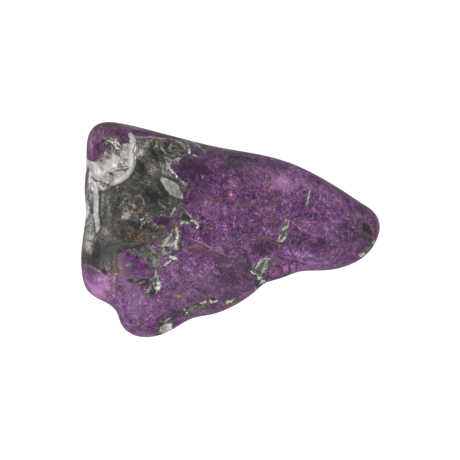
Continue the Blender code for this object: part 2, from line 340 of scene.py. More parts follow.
# Paler and darker stretches of the rock
ROCK_TONES = (
    (141, 154, 6, 6, 0, 0.42),
    (154, 155, 7, 8, 90, -0.34),
    (107, 156, 5, 4, 45, -0.12),
    (122, 147, 6, 4, 30, -0.36),
    (93, 237, 5, 4, 0, 0.55),
    (89, 224, 4, 6, 0, 0.35),
    (116, 229, 9, 5, 90, 0.22),
    (161, 145, 4, 6, 0, 0.28),
    (187, 143, 5, 4, 0, 0.25),
    (105, 223, 10, 5, 90, -0.28),
    (110, 250, 12, 9, 90, -0.22),
    (169, 246, 9, 6.5, 130, 0.66),
    (152, 256, 4, 8, 0, -0.2),
    (126.5, 216, 7, 3.6, 142, 0.95),
    (105, 249, 14, 8, 10, -0.26),
    (121, 221, 4, 4, 0, -0.3),
    (154, 194, 7, 5, 60, -0.3),
    (153, 149, 3, 8, 100, -0.25),
    (141, 152, 5, 6, 0, 0.1),
    (117.5, 163.5, 4, 4, 0, 0.18),
    (109, 160, 5, 4, 0, -0.12),
    (106, 154, 6, 3.5, 150, -0.1),
    (104, 172, 8, 4.5, 160, 0.26),
    (110, 185, 8, 3, 155, -0.2),
    (112, 180, 9, 4, 160, -0.16),
    (102.5, 159.5, 7, 4, 150, -0.5),
    (125, 156, 3.5, 7, 10, 0.28),
    (148, 142, 4, 3, 0, 0.4),
    (168, 147, 5, 4, 0, -0.25),
    (159, 170, 4, 6, 0, -0.2),
    (88, 208, 4, 7, 0, -0.35),
    (98, 213, 2.4, 12, 0, 0.16),
    (155, 281, 5, 8, 0, -0.3),
    (161, 328, 4, 4, 0, -0.25),
    (158, 331, 4, 3, 0, 0.25),
    (143, 168, 9, 6, 90, -0.30),
    (153, 169, 6, 5, 90, 0.26),
    (172, 148, 14, 8, 0, 0.08),
    (184, 147, 6, 7, 0, 0.16),
    (168, 168, 6, 8, 60, 0.42),
    (171, 188, 10, 5, 62, -0.46),
    (183, 186, 5, 4, 60, 0.16),
    (151, 197, 12, 7, 0, -0.34),
    (160, 208, 7.5, 6, 0, -0.36),
    (179, 194, 3.5, 12, 0, -0.4),
    (140, 184, 14, 6, 0, -0.08),
    (126, 205, 6, 6, 0, 0.14),
    (106, 206, 15, 4.5, 90, 0.14),
    (116.5, 208, 18, 2.5, 103, -0.05),
    (105, 233, 6, 6, 0, 0.2),
    (135, 225, 16, 8, 0, -0.17),
    (133, 238, 15, 6, 0, -0.20),
    (127, 233, 8, 5, 0, -0.18),
    (118, 247, 14, 5, 0, -0.15),
    (99, 259, 16, 8, 10, -0.36),
    (88.5, 246, 8, 4.4, 80, 1.05),
    (88, 235, 6, 4, 20, 0.25),
    (113, 244, 10, 4, 90, -0.15),
    (155, 260, 9, 5, 90, 0.16),
    (90, 200, 18, 4.4, 90, 0.65),
    (90, 222, 14, 4.4, 90, 0.50),
    (84, 215, 40, 3, 95, 0.30),
    (102, 271, 4, 2, 25, -0.5),
    (144, 281.5, 7, 2.4, 0, -0.5),
    (133, 280, 5, 2, 0, -0.3),
    (149, 277, 4, 3, 0, 0.1),
    (151, 293.5, 5, 2, 0, -0.4),
    (147, 291.5, 3, 3, 0, 0.3),
    (187, 311, 5, 4, 20, -0.2),
    (196, 306, 5, 5, 20, 0.12),
    (201, 302.5, 4, 3, 160, -0.3),
    (168, 175, 4, 4, 0, 0.3),
    (214, 299, 3, 1.8, 0, -0.6),
    (188, 218, 7, 6, 50, -0.42),
    (231, 302, 9, 4, 10, 0.25),
    (368, 249, 5, 4, 50, 0.2),
    (262, 268, 9, 5.5, 65, 0.34),
    (282, 236, 6, 2, 65, 0.1),
    (173, 320, 3, 3, 0, 0.1),
    (170, 327, 3, 4, 40, 0.25),
    (164, 326, 4, 3, 0, -0.15),
    (159, 335, 6, 1.4, 20, -0.5),
)

# Stretches of broken, grainy rock
GRAINY = (
    (165, 147, 24, 9, 5, 0.8),
    (112, 144, 8, 6, 0, 1.0),
    (164, 203, 8, 6, 0, 0.9),
    (127, 206, 9, 7, 0, 0.8),
    (146, 222, 8, 8, 0, 0.8),
    (122, 167, 8, 4, 25, 1.0),
    (110, 175, 7, 3.4, 25, 0.9),
    (106, 156, 5, 4, 45, 0.8),
    (120, 150, 6, 5, 45, 0.7),
    (103, 185, 8, 4, 25, 0.8),
    (178, 178, 9, 3, 45, 1.0),
    (89, 197, 14, 4, 90, 0.6),
    (89, 222, 14, 4, 90, 0.6),
    (252, 270, 6, 4, 90, 0.7),
    (260, 282, 6, 4, 0, 0.6),
    (103, 251, 15, 9, 15, 0.45),
    (155, 285, 10, 7, 90, 0.7),
    (186, 312, 6, 5, 20, 0.8),
    (209, 301, 9, 4, 165, 0.7),
)

# Stretches with a brown, cream or pink tint. The pink strip along the upper bevel is the tint of a painted
# highlight
WARM = (
    (283, 183, 15, 9, 10, 1.0),
    (104, 134, 16, 14, 0, 0.9),
    # Pink of a painted highlight along the upper bevel
    (138, 129, 20, 3, 14, 1.8),
    (93, 142, 8, 14, 0, 1.1),
    (156, 306, 12, 6, 0, 0.2),
    (120, 300, 6, 20, 0, 0.4),
    (138, 324, 14, 8, 0, 0.5),
    (205, 278, 12, 9, 0, 0.6),
    (281, 269, 9, 7, 0, 1.0),
    (238, 205, 30, 10, 10, 0.3),
    (230, 188, 7, 10, 0, 0.8),
    (300, 227, 14, 5, 35, 0.8),
    (226, 278, 12, 10, 0, 0.4),
    (134, 234, 22, 12, 0, 0.9),
    (183, 146, 9, 8, 0, 0.9),
    (160, 143, 10, 5, 0, 0.6),
    (152, 168, 9, 7, 0, 0.8),
    (134, 156, 3, 8, 0, 0.4),
    (110, 178, 11, 6, 160, 0.8),
    (154, 282, 6, 12, 0, 0.8),
    (160.5, 330, 5, 4, 120, 1.8),
    (117, 266, 4, 12, 0, 1.0),
    (98, 254, 16, 10, 0, 0.5),
    (140, 208, 14, 8, 0, 0.5),
    (205, 302, 6, 3, 0, 0.8),
    (166, 228, 10, 8, 0, 0.5),
    (258, 287, 4, 3, 0, 1.0),
    (97, 228, 6, 8, 0, 0.5),
    (370, 230, 8, 8, 50, 1.2),
)

# Lighter and deeper stretches of the purple. Some are painted light: lighter strips along the rim, a painted
# sheen on the lower left lobe, and painted highlights on the upper bevel and a facet edge
PURPLE_TONES_AND_PAINTED_LIGHT = (
    (283, 183, 15, 9, 10, 1.15),
    (188, 171, 17, 13, 20, -0.66),
    (194, 194, 9, 10, 0, -0.25),
    (195, 151, 6, 4, 0, -0.3),
    (216, 180, 14, 9, 0, -0.14),
    (241, 166, 13, 5, 10, -0.3),
    (256, 190, 13, 9, 0, 0.2),
    (239, 190, 6, 6, 0, 0.15),
    (226, 224, 20, 8, 20, 0.14),
    (162, 220, 11, 5, 0, -0.9),
    (154, 243, 4, 5, 0, 0.3),
    (120, 264, 5, 6, 0, -0.35),
    (262, 251, 8, 6, 0, -0.45),
    (158, 301, 17, 8, 0, 0.24),
    (226, 284.5, 16, 6, 160, -0.55),
    # Painted sheen on the lower left lobe and along its rim
    (87, 279, 10, 4.5, 66, 0.6),
    (95, 289, 10, 4.5, 45, 0.6),
    (108, 299, 8, 3, 25, 0.3),
    (102, 299, 10, 3, 25, 0.3),
    # Painted light: a highlight along the front lobe's left flank and lighter strips along the lower rim
    (119.5, 306, 12, 4, 72, 0.4),
    (142, 333, 16, 3.5, 0, 0.65),
    (126, 319, 13, 3.5, 73, 0.28),
    (246, 294, 13, 3.5, 150, 0.75),
    (248, 285, 7, 4, 150, -0.3),
    # Painted light: lighter strips along the lower rim of the narrow end
    (303, 267, 22, 3.5, 175, 0.5),
    (284, 270, 8, 6, 0, 0.75),
    # Painted light: lighter strips along the upper right rim
    (296, 170, 14, 4, 20, 0.35),
    (326, 189, 15, 4.5, 33, 0.42),
    (347, 204, 8, 5, 35, 0.35),
    (262, 159, 22, 3, 12, 0.2),
    (183, 317, 8, 3, 150, 0.7),
    (197, 165, 18, 14, 10, -0.26),
    (208, 174, 12, 7, 20, -0.22),
    (191, 190, 7, 9, 0, -0.16),
    (187, 200, 6, 14, 0, -0.28),
    (233, 168, 12, 6, 0, -0.14),
    (264, 200, 5, 5, 0, 0.5),
    (198, 195, 5, 4, 0, 0.4),
    (260, 247, 6, 6, 0, -0.45),
    (132, 297, 7, 8, 0, -0.2),
    (166, 297, 16, 5, 0, 0.14),
    (202, 297, 8, 4, 160, -0.3),
    (223, 304, 12, 3, 165, -0.2),
    (296, 228, 7, 5, 0, 0.2),
    (226, 240, 12, 5, 0, -0.14),
    (272, 228, 7, 10, 0, -0.14),
    (354, 248, 10, 6, 0, -0.36),
    (298, 219, 11, 7, 0, -0.4),
    (320, 212, 14, 6, 0, -0.12),
    (325, 215, 30, 24, 0, 0.1),
    # Painted sheen on the lower left lobe
    (108, 277, 7, 6, 0, 0.2),
    (268, 249, 5, 5, 0, -0.2),
    (256, 276, 5, 9, 20, 0.15),
    (300, 196, 7, 8, 0, 0.16),
    (310, 238, 6, 10, 0, 0.14),
    (188, 165, 8, 8, 0, 0.1),
    (230, 224, 14, 8, 0, 0.12),
    (134, 290, 6, 6, 0, -0.2),
    (122, 278, 8, 5, 0, -0.25),
    (127, 271.5, 7, 5.5, 0, -0.75),
    (182, 208, 4, 6, 0, -0.3),
    (184, 235.5, 6, 5, 0, -0.55),
    (139, 318, 5, 6, 0, -0.6),
    (123, 136, 7, 5, 20, -0.3),
    (168, 228, 6, 4, 0, -0.6),
    (228, 166, 14, 9, 0, -0.45),
    (238, 158, 24, 5, 10, -0.30),
    (280, 166, 9, 4, 15, -0.45),
    (296, 175, 9, 4, 25, 0.25),
    (320, 184, 6, 3, 30, -0.25),
    (336, 199, 12, 4, 36, 0.25),
    (320, 241, 10, 5, 5, -0.7),
    (351, 209, 8, 5, 25, -0.2),
    (368, 230, 8, 7, 60, -0.65),
    # Painted light: the lower right shoulder is lightened, and the next two are the painted sheen on the
    # lower left lobe
    (296, 258, 26, 9, 5, 0.48),
    (101, 289, 13, 9, 150, 1.08),
    (96, 276, 14, 5, 10, 0.2),
    (91, 147, 4.5, 13, 0, 0.5),
    (100, 136, 10, 9, 0, 0.12),
    (95, 140, 5, 5, 0, 0.3),
    (104, 131, 10, 5, 0, -0.2),
    (112, 126, 12, 4, 0, -0.3),
    # Painted highlight along the upper bevel
    (134, 128.5, 14, 3, 13, 0.25),
    (136, 306, 18, 12, 20, 0.2),
    (138, 325, 14, 8, 0, 0.15),
    (205, 224, 14, 10, 20, 0.25),
    (205, 206, 7, 7, 0, 0.35),
    (345, 232, 16, 10, 0, -0.15),
    (255, 226, 20, 12, 0, -0.15),
    (228, 274, 14, 12, 0, -0.35),
    (246, 264, 8, 12, 0, -0.45),
    (205, 278, 10, 8, 0, 0.35),
    (199, 289, 10, 4, 15, -0.35),
    (181, 281, 6, 6, 0, -0.2),
    (182, 263, 9, 7, 0, 0.25),
    (172, 272, 5, 6, 0, 0.25),
    (178, 312, 10, 8, 0, -0.4),
    (203, 227, 7, 3, 10, -0.8),
    (231, 183, 5, 3.5, 20, 0.8),
    (231, 195, 4, 3, 70, 0.7),
    (228, 190, 8, 3, 0, -0.2),
    (308, 226, 10, 5, 35, 0.4),
    (326, 226, 9, 6, 0, 0.25),
    (242, 242, 6, 6, 0, 0.1),
    (203, 236, 8, 4, 10, -0.3),
)

# Stretches of strong violet, and of dull grey violet where the amount is negative
VIVID = (
    (133, 263, 17, 9, 30, 1.3),
    (127, 273, 6, 5, 0, 1.2),
    (203, 237, 15, 5, 10, 0.5),
    (286, 265, 16, 10, 0, 0.65),
    (307, 266, 16, 5, 175, 0.3),
    (165, 296, 13, 6, 0, 0.3),
    (155, 322, 8, 8, 0, 0.8),
    (122, 138, 7, 5, 20, 0.9),
    (346, 207, 9, 6, 0, 0.7),
    (96, 152, 9, 7, 0, 0.5),
    (230, 182, 5, 4, 0, 0.6),
    (231, 194, 3, 4, 0, 0.5),
    (256, 257, 5, 3, 90, 0.8),
    (315, 205, 26, 10, 20, 0.35),
    (165, 221, 12, 8, 0, 0.3),
    (112, 127, 18, 5, 0, -0.6),
    (230, 155, 30, 6, 10, -0.4),
    (346, 235, 20, 16, 0, -0.4),
    (138, 325, 14, 8, 0, -0.2),
    (132, 298, 9, 14, 0, 0.9),
    (240, 245, 16, 10, 0, -0.3),
    (152, 135.5, 20, 2.5, 13, 0.9),
    (130, 128, 14, 3, 13, -0.5),
    (205, 283, 30, 14, 0, -0.2),
)

# Rust stains: strokes, strongest along their middle
RUST_STROKES = (
    ((143, 207, 0.7), (140, 211, 0.9), (135, 214.5, 0.9), (131, 216.5, 0.7)),
    ((139, 237, 0.9), (141.5, 235, 1.4), (145, 234, 1.3)),
    ((137, 241, 0.8), (142, 239, 1.1), (147, 237, 0.8)),
    ((129, 232.5, 0.8), (131, 235, 1.2)),
    ((119, 231, 0.8), (120.5, 233.5, 1)),
    ((124, 239, 0.8), (126.5, 238.5, 0.8)),
    ((117, 247, 0.4), (125, 244, 0.6), (132, 243, 0.6), (137, 241, 0.5)),
    ((181.5, 203, 0.9), (182, 208, 1)),
    ((109, 150.5, 1), (113, 152, 1.4)),
    ((97, 160.5, 0.9), (100, 157.5, 1.4), (103.5, 155, 1)),
    ((133, 253.5, 0.5), (139, 256.5, 0.7), (145, 261, 0.7), (149, 267, 0.8), (150, 274, 0.9)),
    ((160, 253, 0.8), (160, 258, 1), (159, 264, 1.1), (158.5, 268, 0.7)),
    ((166, 267, 0.5), (172, 265, 0.7), (177, 262, 0.6)),
    ((117, 259, 0.9), (119, 264, 1), (116.5, 268, 0.9)),
    ((114, 261, 0.6), (113.6, 268, 1), (113.4, 276, 0.9), (113.6, 286, 1), (110, 293, 1), (107, 298, 0.7)),
    ((120, 264.5, 0.8), (124, 268, 1), (125.5, 271, 0.6)),
    ((119, 268, 0.8), (121.5, 270, 1)),
    ((120.5, 274, 0.7), (125, 275.5, 0.9)),
    ((147, 262, 0.5), (149.5, 268, 0.9), (150.5, 275, 0.7)),
    ((120.5, 272.4, 0.9), (123, 271.6, 1)),
    ((176.8, 295.7, 2.2), (179, 296.6, 2.9), (181, 297.4, 2.2)),
    ((372, 236, 1.1), (373.5, 239, 1.4), (371.5, 241, 1)),
    ((361.5, 221.5, 0.8), (365, 223, 1)),
    ((369.5, 226, 0.5), (372, 230, 0.9), (373.5, 234, 0.7)),
    ((154, 225.5, 0.5), (161, 227, 0.6), (170, 226.5, 0.6)),
    ((175, 219, 0.7), (177, 223, 0.8), (175.5, 228, 0.6)),
    ((188, 248, 0.6), (192, 246.5, 1.1), (196, 246, 0.9)),
    ((191.5, 229, 0.6), (195, 229.3, 0.8)),
    ((176, 245, 0.4), (183, 247.5, 0.7)),
    ((149, 315.5, 0.5), (152, 317, 0.8), (156, 320, 0.6)),
    ((117, 149, 0.5), (114.5, 146, 0.5)),
    ((127, 137, 0.7), (128.5, 142, 0.8)),
    ((229, 180.5, 0.6), (233, 180.5, 0.7)),
    ((262.5, 235.5, 0.7), (265, 237.5, 1)),
)

# Thin olive and brown veins through the purple
BROWN_VEINS = (
    (
        (187, 190, 0.4), (192, 188.5, 0.7), (199, 189.5, 0.6), (204, 190, 0.8), (205.5, 195, 0.8),
        (208, 200, 0.6),
    ),
    (
        (208, 200, 0.6), (214, 200.5, 0.7), (220, 200, 0.8), (225, 198.5, 0.9), (231, 201, 0.9),
        (237, 204, 0.8), (243, 206, 0.9), (250, 204.5, 0.9), (256, 207, 0.7), (262, 211, 0.7),
        (271, 214.5, 0.6),
    ),
    (
        (270.5, 158, 0.3), (269, 170, 0.5), (267.5, 178, 0.7), (267.5, 184, 0.7), (269, 192, 0.6),
        (271, 200, 0.7), (272, 210, 0.6), (273.5, 220, 0.7), (275, 229, 0.7), (276, 237, 0.6),
        (277, 242, 0.6),
    ),
    ((222, 173.5, 0.3), (228, 176.5, 0.5), (235, 180, 0.7), (242, 183, 0.5)),
    ((186, 205, 0.3), (196, 202.5, 0.5), (208, 200.5, 0.6)),
    (
        (242, 183, 0.4), (248, 187, 0.7), (255, 190, 0.5), (262, 193, 0.5), (268, 196, 0.7),
        (275, 200, 0.6), (282, 206, 0.6), (289, 210, 0.3),
    ),
    ((240, 234, 0.5), (244, 237.5, 0.8), (250, 239.8, 0.7), (257, 240.5, 0.4)),
    ((257, 240.5, 0.3), (263, 238, 0.6), (269, 239.5, 0.9), (274, 242, 0.6)),
    ((185, 247, 0.6), (191, 248.5, 0.8), (198, 247.5, 0.7), (203, 250, 0.7), (210, 253, 0.4)),
    ((231, 257.5, 0.5), (236, 260, 0.9), (244, 260, 0.6)),
    ((337, 203, 0.3), (344, 208.5, 0.6), (351, 213, 0.6), (357, 217, 0.6), (363, 221.5, 0.5)),
    ((335, 242.3, 0.3), (344, 242, 0.5), (353, 242, 0.4)),
    ((113.8, 284, 0.6), (113.5, 288, 0.7), (109, 294, 0.9), (106, 299, 0.6)),
    ((111, 299, 0.5), (113.5, 303, 0.7), (115, 306, 0.5)),
    ((160, 292, 0.3), (166, 296, 0.5), (172, 300, 0.5), (177, 305, 0.3)),
    ((206, 230, 0.5), (214, 231, 0.6), (221, 231.5, 0.4)),
    ((279, 248, 0.7), (278.5, 253, 0.6), (279.5, 259, 0.6)),
    ((286, 231, 0.3), (292, 233.5, 0.5), (298, 235, 0.3)),
)

# Pale tan veins with a dark lower lip. The first is a painted highlight along the upper bevel, drawn as such
# a vein
TAN_VEINS_AND_BEVEL_HIGHLIGHT = (
    # Painted highlight along the upper bevel, not a vein
    ((119, 125, 0.3), (127, 126.8, 0.6), (136, 129, 0.6), (146, 131.6, 0.3)),
    (
        (187, 237, 0.3), (192, 239.5, 0.5), (197, 241, 0.7), (203, 243.5, 0.7), (207, 245.5, 0.6),
        (210, 248, 0.4),
    ),
    ((213, 248.5, 0.3), (219, 252, 0.6), (224, 254.5, 0.5), (230, 257, 0.3)),
    ((208, 227.5, 0.4), (212, 229, 0.7), (217, 230, 0.4)),
    ((292, 222.5, 0.3), (295.5, 225.5, 0.6), (299, 228.5, 0.5), (302, 231, 0.2)),
    ((223, 189, 0.3), (229, 188, 0.6), (235, 189, 0.3)),
    ((263.5, 236, 0.2), (268, 237, 0.35), (273, 239.5, 0.2)),
    ((148, 315.3, 0.3), (152, 316.8, 0.6), (157, 320.5, 0.3)),
    ((117, 238, 0.2), (115.7, 244, 0.25), (115.5, 250, 0.3), (114.5, 257, 0.3), (114, 262, 0.2)),
)

# Fine dark cracks
CRACKS = (
    ((279.5, 257, 0.9), (286, 260, 1.2), (293, 262, 1.1), (298, 262.5, 0.9), (304, 264, 0.5)),
    ((289, 261, 0.8), (289.5, 267, 1), (289.5, 273, 0.8)),
    ((296.5, 262, 0.7), (296.5, 267, 0.8), (296.5, 271, 0.6)),
    ((288, 245, 0.4), (290.5, 251, 0.9), (294, 256, 0.8), (297, 262, 0.7)),
    ((272, 267, 0.8), (277, 266.3, 1.2), (281, 268, 1.3), (282.6, 271.5, 1.2), (280.8, 274.5, 0.9)),
    ((266, 277.3, 0.9), (273, 278, 1.1), (281, 276.3, 0.9), (289, 273.6, 0.6)),
    ((275, 271, 0.4), (277.5, 270, 0.6), (279, 271.5, 0.5)),
    ((270, 262, 0.9), (271.5, 264, 1.4), (269.5, 268, 1.1), (267.8, 274, 0.9), (266.4, 279, 0.7)),
    ((259, 281.5, 0.8), (257.5, 286, 1), (259.5, 289, 0.7)),
    ((262, 240, 0.4), (259, 246, 0.7), (262, 250, 0.9)),
    ((92.5, 177.5, 0.6), (96, 181, 0.9), (102, 182, 0.6)),
    ((103, 183, 0.5), (108, 185.5, 0.7), (112, 186, 0.4)),
    ((134.5, 164, 0.5), (135, 156, 0.6), (134, 150, 0.6), (137, 144, 0.4)),
    ((120, 250, 0.5), (127, 248, 0.7), (136, 246, 0.7), (146, 242, 0.4)),
    ((86, 240, 0.4), (90, 241, 0.6), (94, 240.5, 0.4)),
    ((98, 232, 0.4), (95, 237, 0.6), (93, 240, 0.4)),
    ((181, 242, 1), (181.5, 247, 1.2), (180, 250, 0.5)),
    ((276, 243, 0.6), (280, 243.5, 0.9), (284.5, 243, 0.6)),
    ((284.5, 221, 0.4), (283.5, 224, 0.7), (282.5, 226.5, 0.4)),
    ((284, 232, 0.5), (282, 237, 0.8), (280, 240, 0.5)),
    ((150, 134, 0.2), (158, 135.3, 0.5), (170, 137.3, 0.6), (184, 139.5, 0.4)),
    ((204, 246.3, 0.4), (207.5, 248, 0.9), (210.5, 249.5, 0.5)),
    ((256, 281, 0.5), (260, 281, 0.7), (265, 278.5, 0.4)),
    ((196, 225, 0.5), (193, 223.5, 0.5), (189, 226, 0.4)),
    ((232, 257, 0.4), (236, 259, 0.7), (240, 259, 0.3)),
    ((112.5, 262, 0.4), (112.3, 270, 0.5), (112.5, 278, 0.3)),
)

# Dark pits
PITS = (
    (367, 227.5, 5.5, 1.5, 50, 1.3),
    (371.3, 233, 3, 1, 58, 1.1),
    (365, 229, 1.6, 2.4, 10, 0.7),
    (261.5, 253.2, 3.4, 1.8, 118, 1.4),
    (263.5, 250.3, 2, 1.4, 0, 1.1),
    (273.5, 241, 3, 1.2, 30, 0.8),
    (131, 280, 2.6, 1.2, 0, 0.9),
    (146, 280, 6, 1.6, 5, 0.9),
    (146, 283.5, 5, 1.2, 0, 0.7),
    (153, 293, 4, 1.4, 0, 0.9),
    (104.5, 271.5, 2.4, 1.3, 25, 1.0),
    (106.5, 273, 1.5, 1, 0, 0.9),
    (188, 308.5, 2, 1.2, 40, 0.7),
    (214, 299.2, 2.4, 1.4, 0, 1.0),
    (208.5, 300, 1, 1.6, 0, 0.7),
    (181.5, 247, 2.6, 1.1, 90, 0.8),
    (167, 258, 2.6, 1.2, 150, 0.6),
    (158.5, 320.5, 2.6, 1.3, 20, 0.8),
    (103, 142, 2, 2, 0, 0.7),
    (203, 224.5, 4, 1.8, 10, 0.6),
    (337.5, 204, 3.4, 1.2, 80, 0.5),
    (153.5, 268.5, 2, 2, 0, 0.7),
    (371, 241, 2.4, 1.4, 40, 0.8),
    (257, 286, 2.6, 1.2, 120, 0.7),
    (189, 155.5, 2, 1.2, 0, 0.6),
)
